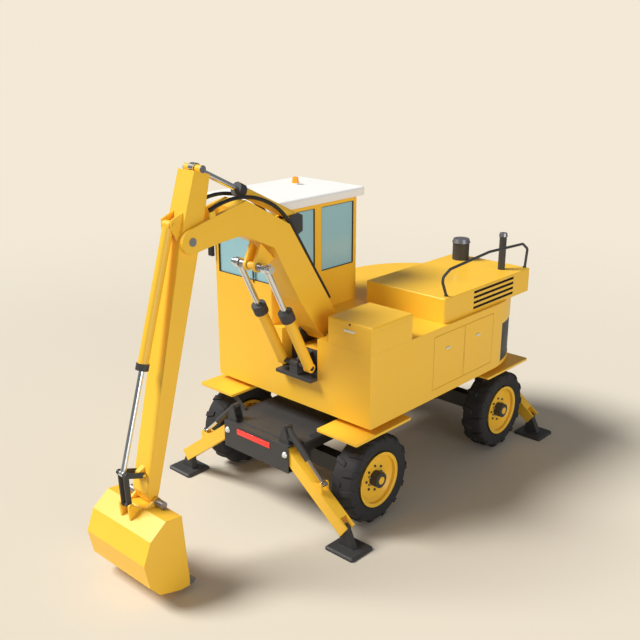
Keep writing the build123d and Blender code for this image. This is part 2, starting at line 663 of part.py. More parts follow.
for name, x0, x1 in (("side_door_rear", *DOOR_EDGES[:2]), ("side_door_front", *DOOR_EDGES[1:])):
    with BuildPart() as door:
        with BuildSketch(Plane.XY.offset(DOOR_Z0)):
            with Locations(((x0 + x1) / 2, HOUSE_HALF_Y - DOOR_THICK / 2)):
                Rectangle(x1 - x0 - 4 * DOOR_GAP, DOOR_THICK)
        extrude(amount=DOOR_Z1 - DOOR_Z0)
        handle_x = (x0 + x1) / 2 + 38
        with BuildSketch(Plane(origin=(handle_x, HOUSE_HALF_Y, 1808), x_dir=(1, 0, 0), z_dir=(0, 1, 0))):
            SlotOverall(84, 24)
        extrude(amount=12)
    save(door.part, name)

with BuildPart() as engine_block:
    with BuildSketch(Plane.XY.offset(DOOR_Z0 + 20)):
        with Locations((-290, 740)):
            RectangleRounded(980, 620, 30)
    extrude(amount=440)
    with BuildSketch(Plane.XY.offset(DOOR_Z0 + 460)):
        with Locations((-290, 740)):
            Rectangle(760, 380)
    extrude(amount=90)

save(engine_block.part, "engine_block")

with BuildPart() as hood:
    with BuildSketch(Plane.XY.offset(DECK_Z)):
        with Locations(((HOOD_X0 + HOOD_X1) / 2, (HOOD_Y0 + HOOD_Y1) / 2)):
            Rectangle(HOOD_X1 - HOOD_X0, HOOD_Y1 - HOOD_Y0)
    extrude(amount=HOOD_TOP - DECK_Z)
    fillet(hood.edges().filter_by(Axis.Z), 18)
    fillet(hood.faces().sort_by(Axis.Z)[-1].edges(), 14)
    for z in LOUVRE_ZS:
        with BuildSketch(Plane(origin=((LOUVRE_X0 + LOUVRE_X1) / 2, HOOD_Y1 + 5, z), x_dir=(1, 0, 0), z_dir=(0, -1, 0))):
            Rectangle(LOUVRE_X1 - LOUVRE_X0, 34)
        extrude(amount=45, mode=Mode.SUBTRACT)

save(hood.part, "hood")

with BuildPart() as toolbox:
    with BuildSketch(Plane.XY.offset(DECK_Z)):
        with Locations(((BIN_X0 + HOUSE_FRONT) / 2, (BIN_Y0 + HOUSE_HALF_Y) / 2)):
            Rectangle(HOUSE_FRONT - BIN_X0, HOUSE_HALF_Y - BIN_Y0)
    extrude(amount=BIN_TOP - LID_TALL - DECK_Z)
    fillet(toolbox.edges().filter_by(Axis.Z), 16)
    with BuildSketch(Plane.XY.offset(DECK_Z + BIN_WALL)):
        with Locations(((BIN_X0 + HOUSE_FRONT) / 2, (BIN_Y0 + HOUSE_HALF_Y) / 2)):
            Rectangle(HOUSE_FRONT - BIN_X0 - 2 * BIN_WALL, HOUSE_HALF_Y - BIN_Y0 - 2 * BIN_WALL)
    extrude(amount=BIN_TOP - DECK_Z, mode=Mode.SUBTRACT)
    with BuildSketch(across(HOUSE_FRONT - 4)):
        with Locations((935, 2300)):
            SlotOverall(150, 26)
    extrude(amount=16)

save(toolbox.part, "toolbox")

with BuildPart() as toolbox_lid:
    with BuildSketch(Plane.XY.offset(BIN_TOP - LID_TALL + FLOAT)):
        with Locations(((BIN_X0 + HOUSE_FRONT) / 2, (BIN_Y0 + HOUSE_HALF_Y) / 2)):
            Rectangle(HOUSE_FRONT - BIN_X0, HOUSE_HALF_Y - BIN_Y0)
    extrude(amount=LID_TALL - FLOAT)
    fillet(toolbox_lid.edges().filter_by(Axis.Z), 16)
    fillet(toolbox_lid.faces().sort_by(Axis.Z)[-1].edges(), 22)
    with BuildSketch(Plane.XY.offset(BIN_TOP - LID_TALL)):
        with Locations(((BIN_X0 + HOUSE_FRONT) / 2, (BIN_Y0 + HOUSE_HALF_Y) / 2)):
            Rectangle(HOUSE_FRONT - BIN_X0 - 2 * BIN_WALL, HOUSE_HALF_Y - BIN_Y0 - 2 * BIN_WALL)
    extrude(amount=LID_TALL - BIN_WALL, mode=Mode.SUBTRACT)
    with BuildSketch(across(HOUSE_FRONT - 2)):
        with Locations((939, BIN_TOP - 30)):
            Circle(13)
    extrude(amount=6)

save(toolbox_lid.part, "toolbox_lid")

with BuildPart() as exhaust_and_air_cleaner:
    with BuildSketch(Plane.XY.offset(HOOD_TOP)):
        with Locations((-1590, 262)):
            Circle(112)
    extrude(amount=235)
    with BuildSketch(Plane.XY.offset(HOOD_TOP + 235)):
        with Locations((-1590, 262)):
            Circle(124)
    extrude(amount=52, taper=20)
    with BuildSketch(Plane.XY.offset(HOOD_TOP)):
        with Locations((-1500, 962)):
            Circle(46)
    extrude(amount=440)
    with BuildSketch(Plane.XY.offset(HOOD_TOP + 440)):
        with Locations((-1500, 962)):
            Circle(56)
    extrude(amount=46, taper=10)

save(exhaust_and_air_cleaner.part, "exhaust_and_air_cleaner")

RAIL_Y = 1139.0
RAIL_R = 17.0
# (x, z) of the rail's corners, front foot to rear foot
RAIL = ((0, HOOD_TOP + 9), (85, 2590), (75, 2655), (-60, 2722), (-900, 2778), (-1700, 2738), (-1830, 2650), (-1795, HOOD_TOP + 9))

with BuildPart() as handrail:
    with BuildLine(upright(RAIL_Y)) as rail_path:
        FilletPolyline(*RAIL, radius=(40, 40, 60, 500, 60, 40))
    with BuildSketch(Plane(origin=rail_path.wires()[0] @ 0, z_dir=rail_path.wires()[0] % 0)):
        Circle(RAIL_R)
    sweep(path=rail_path.wires()[0])
    with BuildSketch(Plane.XY.offset(HOOD_TOP)):
        with Locations((0, RAIL_Y), (-1800 + 15, RAIL_Y)):
            Circle(24)
    extrude(amount=14)

save(handrail.part, "handrail")

# ---------------------------------------------------------------- cab

cab_mid_x = (CAB_X0 + HOUSE_FRONT) / 2
cab_mid_y = (CAB_Y1 - HOUSE_HALF_Y) / 2
# windows: name, the wall's outer plane, along the wall from and to, sill, head
CAB_HINGE_ZS = (2340.0, 3240.0)
CAB_HINGE_HALF = 30.0
cab_hinge = (CAB_DOOR_X0 - 4, -HOUSE_HALF_Y - 14)
SIDE_WINDOWS = ((66.0, 655.0), (770.0, 1440.0))

with BuildPart() as cab_shell:
    with BuildSketch(Plane.XY.offset(DECK_Z)):
        with Locations((cab_mid_x, cab_mid_y)):
            Rectangle(HOUSE_FRONT - CAB_X0, HOUSE_HALF_Y + CAB_Y1)
    extrude(amount=CAB_TOP - DECK_Z)
    fillet(cab_shell.edges().filter_by(Axis.Z), 22)
    with BuildSketch(Plane.XY.offset(DECK_Z + CAB_WALL)):
        with Locations((cab_mid_x, cab_mid_y)):
            Rectangle(HOUSE_FRONT - CAB_X0 - 2 * CAB_WALL, HOUSE_HALF_Y + CAB_Y1 - 2 * CAB_WALL)
    extrude(amount=CAB_TOP - DECK_Z, mode=Mode.SUBTRACT)
    with BuildSketch(across(HOUSE_FRONT - 100)):
        with Locations((-742, (SILL_Z + HEAD_Z) / 2)):
            RectangleRounded(876, HEAD_Z - SILL_Z, 14)
    extrude(amount=200, mode=Mode.SUBTRACT)
    with BuildSketch(across(-50)):
        with Locations((-753, (SILL_Z + HEAD_Z) / 2)):
            RectangleRounded(800, HEAD_Z - SILL_Z, 14)
    extrude(amount=120, mode=Mode.SUBTRACT)
    for x0, x1 in SIDE_WINDOWS:
        with BuildSketch(upright(CAB_Y1 + 10)):
            with Locations(((x0 + x1) / 2, (SILL_Z + HEAD_Z) / 2)):
                RectangleRounded(x1 - x0, HEAD_Z - SILL_Z, 14)
        extrude(amount=100, mode=Mode.SUBTRACT)
    with BuildSketch(upright(-HOUSE_HALF_Y + 80)):
        with Locations(((66 + 500) / 2, (SILL_Z + HEAD_Z) / 2)):
            RectangleRounded(434, HEAD_Z - SILL_Z, 14)
        with Locations(((CAB_DOOR_X0 + CAB_DOOR_X1) / 2, (CAB_DOOR_Z0 + CAB_DOOR_Z1) / 2)):
            Rectangle(CAB_DOOR_X1 - CAB_DOOR_X0, CAB_DOOR_Z1 - CAB_DOOR_Z0)
    extrude(amount=120, mode=Mode.SUBTRACT)

    # hinge pins of the door, each between two lugs
    for z in CAB_HINGE_ZS:
        for low in (z + CAB_HINGE_HALF + 1, z - CAB_HINGE_HALF - 15):
            with BuildSketch(Plane.XY.offset(low)):
                with Locations((cab_hinge[0], cab_hinge[1])):
                    Circle(13)
                with Locations((cab_hinge[0] - 16, cab_hinge[1] + 7)):
                    Rectangle(32, 26)
            extrude(amount=14)
        with BuildSketch(Plane.XY.offset(z - CAB_HINGE_HALF - 15)):
            with Locations(cab_hinge):
                Circle(8)
        extrude(amount=2 * CAB_HINGE_HALF + 30)

save(cab_shell.part, "cab_shell")

pane_z = HEAD_Z - SILL_Z - 2 * FLOAT

with BuildPart() as cab_glass:
    with BuildSketch(across(HOUSE_FRONT - 25)):
        with Locations((-742, (SILL_Z + HEAD_Z) / 2)):
            RectangleRounded(876 - 2 * FLOAT, pane_z, 14)
    extrude(amount=GLASS)
    with BuildSketch(across(CAB_X0 + 22)):
        with Locations((-753, (SILL_Z + HEAD_Z) / 2)):
            RectangleRounded(800 - 2 * FLOAT, pane_z, 14)
    extrude(amount=GLASS)
    for x0, x1 in SIDE_WINDOWS:
        with BuildSketch(upright(CAB_Y1 - 20)):
            with Locations(((x0 + x1) / 2, (SILL_Z + HEAD_Z) / 2)):
                RectangleRounded(x1 - x0 - 2 * FLOAT, pane_z, 14)
        extrude(amount=GLASS)
    with BuildSketch(upright(-HOUSE_HALF_Y + 26)):
        with Locations(((66 + 500) / 2, (SILL_Z + HEAD_Z) / 2)):
            RectangleRounded(434 - 2 * FLOAT, pane_z, 14)
    extrude(amount=GLASS)

save(cab_glass.part, "cab_glass")

door_mid = ((CAB_DOOR_X0 + CAB_DOOR_X1) / 2, (CAB_DOOR_Z0 + CAB_DOOR_Z1) / 2)
door_pane = (CAB_DOOR_X1 - CAB_DOOR_X0 - 140, HEAD_Z - SILL_Z - 60)

with BuildPart() as cab_door:
    with BuildSketch(upright(-HOUSE_HALF_Y + 42)):
        with Locations(door_mid):
            Rectangle(CAB_DOOR_X1 - CAB_DOOR_X0 - 2 * SIDE, CAB_DOOR_Z1 - CAB_DOOR_Z0 - 2 * SIDE)
        with Locations((door_mid[0], (SILL_Z + HEAD_Z) / 2 - 10)):
            RectangleRounded(*door_pane, 14, mode=Mode.SUBTRACT)
    extrude(amount=42)
    with BuildSketch(upright(-HOUSE_HALF_Y)):
        with Locations((CAB_DOOR_X1 - 40, 2480)):
            SlotOverall(110, 26, rotation=90)
    extrude(amount=18)

    for z in CAB_HINGE_ZS:
        with BuildSketch(Plane.XY.offset(z - CAB_HINGE_HALF)):
            with Locations(cab_hinge):
                Circle(13)
            with Locations((cab_hinge[0] + 30, cab_hinge[1] + 7)):
                Rectangle(60, 14)
        extrude(amount=2 * CAB_HINGE_HALF)
        with BuildSketch(Plane.XY.offset(z - CAB_HINGE_HALF)):
            with Locations(cab_hinge):
                Circle(8 + RUN)
        extrude(amount=2 * CAB_HINGE_HALF, mode=Mode.SUBTRACT)

save(cab_door.part, "cab_door")

with BuildPart() as cab_door_glass:
    with BuildSketch(upright(-HOUSE_HALF_Y + 26)):
        with Locations((door_mid[0], (SILL_Z + HEAD_Z) / 2 - 10)):
            RectangleRounded(door_pane[0] - 2 * FLOAT, door_pane[1] - 2 * FLOAT, 14)
    extrude(amount=GLASS)

save(cab_door_glass.part, "cab_door_glass")

with BuildPart() as cab_roof:
    with BuildSketch(Plane.XY.offset(CAB_TOP)):
        with Locations(((ROOF_X0 + ROOF_X1) / 2, (ROOF_Y0 + ROOF_Y1) / 2)):
            RectangleRounded(ROOF_X1 - ROOF_X0, ROOF_Y1 - ROOF_Y0, 60)
    extrude(amount=ROOF_TOP - CAB_TOP)
    fillet(cab_roof.faces().sort_by(Axis.Z)[-1].edges(), 32)
    with BuildSketch(Plane.XY.offset(ROOF_TOP)):
        with Locations((430, -910)):
            Circle(54)
    extrude(amount=18)
    with BuildSketch(Plane.XY.offset(ROOF_TOP + 18)):
        with Locations((430, -910)):
            Circle(46)
    extrude(amount=74, taper=9)

save(cab_roof.part, "cab_roof")

with BuildPart() as cab_seat:
    with BuildSketch(Plane.XY.offset(DECK_Z + CAB_WALL)):
        with Locations((480, -753)):
            RectangleRounded(330, 360, 30)
    extrude(amount=300)
    with BuildSketch(upright(-753 + 245)):
        with BuildLine():
            Polyline(
                (270, 2440), (740, 2440), (760, 2560), (420, 2560), (330, 3080), (330, 3290), (240, 3290), (225, 3080),
                close=True,
            )
        make_face()
    extrude(amount=490)
    with BuildSketch(Plane.XY.offset(DECK_Z + CAB_WALL)):
        with Locations((1300, -753)):
            Rectangle(110, 300)
    extrude(amount=540)
    with BuildSketch(Plane(origin=(1250, -753, 2720), x_dir=(0, 1, 0), z_dir=(-0.5, 0, 1))):
        Circle(170)
        Circle(146, mode=Mode.SUBTRACT)
        Rectangle(300, 26)
    extrude(amount=20)
    with BuildSketch(Plane(origin=(1250, -753, 2720), x_dir=(0, 1, 0), z_dir=(0.45, 0, -1))):
        Circle(24)
    extrude(amount=160)

save(cab_seat.part, "cab_seat")

# ---------------------------------------------------------------- boom

# (x, z) round the boom's side, from the heel up the back, over the top to the tip, and home along the belly
BOOM_SIDE = (
    (1000, 2100), (1086, 2330), (1807, 3441), (2410, 3775), (2960, 3643), (3150, 3588), (3060, 3362), (2795, 3403),
    (2477, 3430), (2218, 3313), (2040, 3226), (1664, 2560), (1374, 2150), (1196, 1986),
)

with BuildPart() as boom:
    with BuildSketch(upright(BOOM_Y + BOOM_HALF)):
        with BuildLine():
            Polyline(*BOOM_SIDE, close=True)
        make_face()
        with Locations(TIP):
            Circle(TIP_R)
        with Locations(HEEL):
            Circle(HEEL_R)
            Circle(40 + RUN, mode=Mode.SUBTRACT)
    extrude(amount=2 * BOOM_HALF)
    with BuildSketch(upright(BOOM_Y + BOOM_HALF - CHEEK)):
        with Locations(((FORK_X + 3400) / 2, 3500)):
            Rectangle(3400 - FORK_X, 700)
    extrude(amount=2 * (BOOM_HALF - CHEEK), mode=Mode.SUBTRACT)
    # bores of the arm's pivot
    with BuildSketch(upright(BOOM_Y + BOOM_HALF + 5)):
        with Locations(TIP):
            Circle(42 + RUN)
    extrude(amount=2 * BOOM_HALF + 10, mode=Mode.SUBTRACT)
    # lugs under the elbow for the lift rams' cross pin
    for y in (BOOM_Y + 84, BOOM_Y - 54):
        with BuildSketch(upright(y)):
            with BuildLine():
                Polyline(
                    (1960, 3080), (2150, 3282), (RAM_HEAD[0] + 44, RAM_HEAD[1] + 40), (RAM_HEAD[0] - 30, RAM_HEAD[1] - 50),
                    close=True,
                )
            make_face()
            with Locations(RAM_HEAD):
                Circle(62)
        extrude(amount=30)
    # the middle of their cross pin: its ends go with the rods, whose eyes drift from it
    with BuildSketch(upright(BOOM_Y + RAM_SIDE - LIFT_ROD_R - PIN_SPLIT)):
        with Locations(RAM_HEAD):
            Circle(HEAD_PIN_R)
    extrude(amount=2 * (RAM_SIDE - LIFT_ROD_R - PIN_SPLIT))
    # clamps for the ends of the arm hoses
    for y in (BOOM_Y + HOSE_SIDE + 18, BOOM_Y - HOSE_SIDE + 18):
        with BuildSketch(upright(y)):
            with BuildLine():
                Polyline((2820, 3660), (2890, 3640), (2890, 3720), (2820, 3737), close=True)
            make_face()
        extrude(amount=36)
    # bracket on the back for the arm ram
    for y in (BOOM_Y + 84, BOOM_Y - 58):
        with BuildSketch(upright(y)):
            with BuildLine():
                Polyline(
                    (1710, 3230), (1850, 3466), (1700, 3500), (ARM_RAM_BASE[0], ARM_RAM_BASE[1] + 50),
                    (ARM_RAM_BASE[0] - 60, ARM_RAM_BASE[1] + 20), (ARM_RAM_BASE[0] - 60, 3310), close=True,
                )
            make_face()
        extrude(amount=26)
    with BuildSketch(Plane(origin=(ARM_RAM_BASE[0], BOOM_Y - 84, ARM_RAM_BASE[1]), x_dir=(1, 0, 0), z_dir=(0, 1, 0))):
        Circle(26)
    extrude(amount=168)

save(boom.part, "boom")

ram_long = span(RAM_BASE, RAM_HEAD)
LIFT_BARREL_R = 62.0
LIFT_BARREL_LONG = 842.0
LIFT_ROD_INNER = 440.0

with BuildPart() as boom_barrels:
    for y in (BOOM_Y - RAM_SIDE, BOOM_Y + RAM_SIDE):
        ram = along(RAM_BASE, RAM_HEAD, y)
        with BuildSketch(ram.offset(20)):
            Circle(LIFT_BARREL_R)
        extrude(amount=LIFT_BARREL_LONG - 20)
        with BuildSketch(ram.offset(LIFT_BARREL_LONG - 120)):
            RegularPolygon(84, 12)
        extrude(amount=120)
        with BuildSketch(Plane(origin=(RAM_BASE[0], y - 40, RAM_BASE[1]), x_dir=(1, 0, 0), z_dir=(0, 1, 0))):
            Circle(56)
        extrude(amount=80)
        with BuildSketch(ram.offset(120)):
            Circle(LIFT_ROD_R + RUN)
        extrude(amount=LIFT_BARREL_LONG, mode=Mode.SUBTRACT)
        with BuildSketch(Plane(origin=(RAM_BASE[0], y - 70, RAM_BASE[1]), x_dir=(1, 0, 0), z_dir=(0, 1, 0))):
            Circle(30 + RUN)
        extrude(amount=140, mode=Mode.SUBTRACT)

save(boom_barrels.part, "boom_barrels")

with BuildPart() as boom_rods:
    for y in (BOOM_Y - RAM_SIDE, BOOM_Y + RAM_SIDE):
        with BuildSketch(along(RAM_BASE, RAM_HEAD, y).offset(LIFT_ROD_INNER)):
            Circle(LIFT_ROD_R)
        extrude(amount=ram_long - LIFT_ROD_INNER)
        with BuildSketch(upright(y + HEAD_EYE_HALF)):
            with Locations(RAM_HEAD):
                Circle(HEAD_EYE_R)
        extrude(amount=2 * HEAD_EYE_HALF)
    # the ends of the cross pin, outside both eyes
    for y in (BOOM_Y + HEAD_PIN_HALF, BOOM_Y - RAM_SIDE - HEAD_EYE_HALF):
        with BuildSketch(upright(y)):
            with Locations(RAM_HEAD):
                Circle(HEAD_PIN_R)
        extrude(amount=HEAD_PIN_HALF - RAM_SIDE - HEAD_EYE_HALF)

save(boom_rods.part, "boom_rods")

ARM_BARREL_R = 56.0
ARM_ROD_R = 30.0
ARM_BARREL_LONG = 915.0
ARM_ROD_INNER = 520.0
arm_ram = along(ARM_RAM_BASE, ARM_RAM_HEAD, BOOM_Y)

with BuildPart() as arm_barrel:
    with BuildSketch(arm_ram.offset(20)):
        Circle(ARM_BARREL_R)
    extrude(amount=ARM_BARREL_LONG - 20)
    with BuildSketch(arm_ram.offset(ARM_BARREL_LONG - 90)):
        RegularPolygon(74, 12)
    extrude(amount=90)
    with BuildSketch(Plane(origin=(ARM_RAM_BASE[0], BOOM_Y - 50, ARM_RAM_BASE[1]), x_dir=(1, 0, 0), z_dir=(0, 1, 0))):
        Circle(48)
    extrude(amount=100)
    with BuildSketch(arm_ram.offset(110)):
        Circle(ARM_ROD_R + RUN)
    extrude(amount=ARM_BARREL_LONG, mode=Mode.SUBTRACT)
    with BuildSketch(Plane(origin=(ARM_RAM_BASE[0], BOOM_Y - 60, ARM_RAM_BASE[1]), x_dir=(1, 0, 0), z_dir=(0, 1, 0))):
        Circle(26 + RUN)
    extrude(amount=120, mode=Mode.SUBTRACT)

save(arm_barrel.part, "arm_barrel")

with BuildPart() as arm_rod:
    with BuildSketch(arm_ram.offset(ARM_ROD_INNER)):
        Circle(ARM_ROD_R)
    extrude(amount=span(ARM_RAM_BASE, ARM_RAM_HEAD) - ARM_ROD_INNER)
    with BuildSketch(upright(BOOM_Y + 36)):
        with Locations(ARM_RAM_HEAD):
            Circle(ARM_EYE_R)
    extrude(amount=72)

save(arm_rod.part, "arm_rod")

# ---------------------------------------------------------------- arm

# (x, z) round the arm's side, from the top back corner forward and down to the foot
ARM_SIDE = (
    (2834, 4080), (3020, 4134), (3206, 3550), (3797, 1024), (3764, 952), (3676, 940), (3652, 1010), (3024, 3322), (2932, 3632),
)

with BuildPart() as arm:
    with BuildSketch(upright(BOOM_Y + ARM_HALF)):
        with BuildLine():
            Polyline(*ARM_SIDE, close=True)
        make_face()
    extrude(amount=2 * ARM_HALF)
    # slot at the top for the arm ram's rod, open on top and behind
    with BuildSketch(upright(BOOM_Y + ARM_SLOT_HALF)):
        with Locations((2890, 4080)):
            Rectangle(200, 260)
    extrude(amount=2 * ARM_SLOT_HALF, mode=Mode.SUBTRACT)
    # the ram's pin shows at each cheek only, so that its open eye can drift in the slot
    for y in (BOOM_Y + ARM_PIN_HALF, BOOM_Y - ARM_SLOT_HALF):
        with BuildSketch(upright(y)):
            with Locations(ARM_RAM_HEAD):
                Circle(ARM_PIN_R)
        extrude(amount=ARM_PIN_HALF - ARM_SLOT_HALF)
    with BuildSketch(upright(BOOM_Y + ARM_HALF)):
        with Locations(BUCKET_PIN):
            Circle(ARM_FOOT_R)
    extrude(amount=2 * ARM_HALF)
    with BuildSketch(upright(BOOM_Y + ARM_HALF + 5)):
        with Locations(BUCKET_PIN):
            Circle(BUCKET_PIN_R + RUN)
    extrude(amount=2 * ARM_HALF + 10, mode=Mode.SUBTRACT)
    # pivot pin in the boom's fork
    with BuildSketch(upright(BOOM_Y + BOOM_HALF + 8)):
        with Locations(TIP):
            Circle(42)
    extrude(amount=2 * BOOM_HALF + 16)
    # lugs on the front for the bucket ram
    for y in (BOOM_Y + 80, BOOM_Y - 60):
        with BuildSketch(upright(y)):
            with BuildLine():
                Polyline((3120, 3760), (3200, 3440), (3290, 3600), (3290, 3690), close=True)
            make_face()
        extrude(amount=20)
    with BuildSketch(Plane(origin=(BUCKET_RAM_BASE[0], BOOM_Y - 86, BUCKET_RAM_BASE[1]), x_dir=(1, 0, 0), z_dir=(0, 1, 0))):
        Circle(22)
    extrude(amount=172)
    # lug on the front for the rocker
    with BuildSketch(upright(BOOM_Y + 30)):
        with BuildLine():
            Polyline((3705, 1300), (3750, 1130), (3812, 1190), (3812, 1245), close=True)
        make_face()
        with Locations(ROCKER_PIN):
            Circle(30)
    extrude(amount=60)
    with BuildSketch(Plane(origin=(ROCKER_PIN[0], BOOM_Y - 84, ROCKER_PIN[1]), x_dir=(1, 0, 0), z_dir=(0, 1, 0))):
        Circle(18)
    extrude(amount=168)

save(arm.part, "arm")

BUCKET_BARREL_R = 54.0
BUCKET_ROD_R = 28.0
BUCKET_BARREL_LONG = 1420.0
bucket_ram = along(BUCKET_RAM_BASE, LINK_TOP, BOOM_Y)

with BuildPart() as bucket_barrel:
    with BuildSketch(bucket_ram.offset(24)):
        Circle(BUCKET_BARREL_R)
    extrude(amount=BUCKET_BARREL_LONG - 24)
    with BuildSketch(bucket_ram.offset(BUCKET_BARREL_LONG - 70)):
        RegularPolygon(66, 12)
    extrude(amount=70)
    with BuildSketch(Plane(origin=(BUCKET_RAM_BASE[0], BOOM_Y - 54, BUCKET_RAM_BASE[1]), x_dir=(1, 0, 0), z_dir=(0, 1, 0))):
        Circle(42)
    extrude(amount=108)
    with BuildSketch(bucket_ram.offset(BUCKET_BARREL_LONG - 700)):
        Circle(BUCKET_ROD_R + RUN)
    extrude(amount=700, mode=Mode.SUBTRACT)
    with BuildSketch(Plane(origin=(BUCKET_RAM_BASE[0], BOOM_Y - 60, BUCKET_RAM_BASE[1]), x_dir=(1, 0, 0), z_dir=(0, 1, 0))):
        Circle(22 + RUN)
    extrude(amount=120, mode=Mode.SUBTRACT)

save(bucket_barrel.part, "bucket_barrel")

with BuildPart() as bucket_rod:
    with BuildSketch(bucket_ram.offset(BUCKET_BARREL_LONG - 300)):
        Circle(BUCKET_ROD_R)
    extrude(amount=span(BUCKET_RAM_BASE, LINK_TOP) - BUCKET_BARREL_LONG + 300)
    with BuildSketch(Plane(origin=(LINK_TOP[0], BOOM_Y - ROD_EYE_HALF, LINK_TOP[1]), x_dir=(1, 0, 0), z_dir=(0, 1, 0))):
        Circle(LINK_EYE_R)
    extrude(amount=2 * ROD_EYE_HALF)

save(bucket_rod.part, "bucket_rod")


LINK_BAR_R = 27.0
LINK_BAR_THICK = 20.0
TOP_PIN_R = 20.0
TOP_PIN_HALF = 82.0
FOOT_BAR_R = 18.0
EAR_IN = 60.0  # the bucket's inner ears from the boom's plane


def between(start, end):
    """Where a bar's straight middle sits in the plane of the boom: halfway, and turned along the bar."""
    turn = degrees(atan2(end[1] - start[1], end[0] - start[0]))
    return Location(((start[0] + end[0]) / 2, (start[1] + end[1]) / 2, 0), (0, 0, turn))


with BuildPart() as rocker:
    for y in (BOOM_Y + 78, BOOM_Y - 58):
        with BuildSketch(upright(y)):
            with Locations(ROCKER_PIN, LINK_TOP):
                Circle(LINK_BAR_R)
            with Locations(between(ROCKER_PIN, LINK_TOP)):
                Rectangle(span(ROCKER_PIN, LINK_TOP), 2 * LINK_BAR_R)
        extrude(amount=LINK_BAR_THICK)
    with BuildSketch(Plane(origin=(ROCKER_PIN[0], BOOM_Y - 90, ROCKER_PIN[1]), x_dir=(1, 0, 0), z_dir=(0, 1, 0))):
        Circle(18 + RUN)
    extrude(amount=180, mode=Mode.SUBTRACT)
    # each bar has its own pin for the link, and the rod's open eye drifts between the two
    for y in (BOOM_Y + TOP_PIN_HALF, BOOM_Y - ROD_EYE_HALF - PIN_SPLIT):
        with BuildSketch(upright(y)):
            with Locations(LINK_TOP):
                Circle(TOP_PIN_R)
        extrude(amount=TOP_PIN_HALF - ROD_EYE_HALF - PIN_SPLIT)

save(rocker.part, "rocker")

with BuildPart() as link:
    for y in (BOOM_Y + 54, BOOM_Y - 34):
        with BuildSketch(upright(y)):
            with Locations(LINK_TOP, LINK_FOOT):
                Circle(LINK_BAR_R)
            with Locations(between(LINK_TOP, LINK_FOOT)):
                Rectangle(span(LINK_TOP, LINK_FOOT), 2 * LINK_BAR_R)
        extrude(amount=LINK_BAR_THICK)
    with BuildSketch(Plane(origin=(LINK_TOP[0], BOOM_Y - 90, LINK_TOP[1]), x_dir=(1, 0, 0), z_dir=(0, 1, 0))):
        Circle(TOP_PIN_R + RUN)
    extrude(amount=180, mode=Mode.SUBTRACT)
    # the foot's pin ends short of the bucket's ears, where the linkage is open
    with BuildSketch(upright(BOOM_Y + EAR_IN - 4)):
        with Locations(LINK_FOOT):
            Circle(FOOT_BAR_R)
    extrude(amount=2 * (EAR_IN - 4))

save(link.part, "link")

# ---------------------------------------------------------------- bucket

# (x, z) round the bucket's side, from the mouth's upper lip over the back to the cutting edge
BUCKET_SIDE = ((3663, 876), (3855, 896), (4048, 752), (4139, 526), (4083, 252), (3971, 128), (3727, 58), (3600, 56))

with BuildPart() as bucket:
    with BuildSketch(upright(BOOM_Y + BUCKET_HALF)):
        with BuildLine():
            Polyline(*BUCKET_SIDE, close=True)
        make_face()
    extrude(amount=2 * BUCKET_HALF)
    mouth = bucket.faces().sort_by(Axis.X)[0]
    offset(amount=-BUCKET_WALL, openings=mouth)
    # cutting edge and teeth
    with BuildSketch(upright(BOOM_Y + BUCKET_HALF)):
        with BuildLine():
            Polyline((3606, 58), (3606, 84), (3566, 74), (3560, 62), close=True)
        make_face()
    extrude(amount=2 * BUCKET_HALF)
    for k in range(5):
        y = BOOM_Y + BUCKET_HALF - 10 - k * (2 * BUCKET_HALF - 20 - 80) / 4
        with BuildSketch(upright(y)):
            with BuildLine():
                Polyline((3590, 54), (3590, 94), (3546, 98), (3520, 92), (3546, 62), close=True)
            make_face()
        extrude(amount=80)
    # ears: an outer pair for the arm's pin, an inner pair for the link's
    for y in (BOOM_Y + 158, BOOM_Y - 134):
        with BuildSketch(upright(y)):
            with BuildLine():
                Polyline((3668, 870), (3672, 940), (3752, 950), (3850, 880), close=True)
            make_face()
            with Locations(BUCKET_PIN):
                Circle(48)
        extrude(amount=24)
    for y in (BOOM_Y + EAR_IN + 24, BOOM_Y - EAR_IN):
        with BuildSketch(upright(y)):
            with BuildLine():
                Polyline(
                    (3850, 885), (LINK_FOOT[0] - 34, LINK_FOOT[1]), (LINK_FOOT[0] + 34, LINK_FOOT[1]),
                    (LINK_FOOT[0] + 24, 802), close=True,
                )
            make_face()
            with Locations(LINK_FOOT):
                Circle(34)
        extrude(amount=24)
    for y in (BOOM_Y + EAR_IN + 34, BOOM_Y - EAR_IN - 20):
        with BuildSketch(upright(y)):
            with Locations(LINK_FOOT):
                Circle(FOOT_BAR_R)
        extrude(amount=14)
    # pivot pin, with a thicker collar at each side
    with BuildSketch(upright(BOOM_Y + 140)):
        with Locations(BUCKET_PIN):
            Circle(BUCKET_PIN_R)
    extrude(amount=280)
    for y in (BOOM_Y + 270, BOOM_Y - 134):
        with BuildSketch(upright(y)):
            with Locations(BUCKET_PIN):
                Circle(40)
        extrude(amount=136)

save(bucket.part, "bucket")

# ---------------------------------------------------------------- hoses

# (x, z) along each arm hose, from its clamp by the arm's pivot, over the elbow and down the boom's back
HOSE = (
    (2880, 3745), (2740, 3786), (2590, 3813), (2440, 3812), (2290, 3786), (2150, 3738), (2020, 3672), (1905, 3585),
    (1800, 3468), (1636, 3225), (1450, 2928.5), (1256.5, 2637), (1161, 2484),
)


def bends(points):
    """The radius at each inner point that leaves a short straight on both sides of its arc."""
    radii = []
    for before, here, after in zip(points, points[1:], points[2:]):
        arrive = Vector(here[0] - before[0], here[1] - before[1])
        leave = Vector(after[0] - here[0], after[1] - here[1])
        half = radians(arrive.get_angle(leave)) / 2
        radii.append(0.45 * min(arrive.length, leave.length) / tan(half))
    return radii


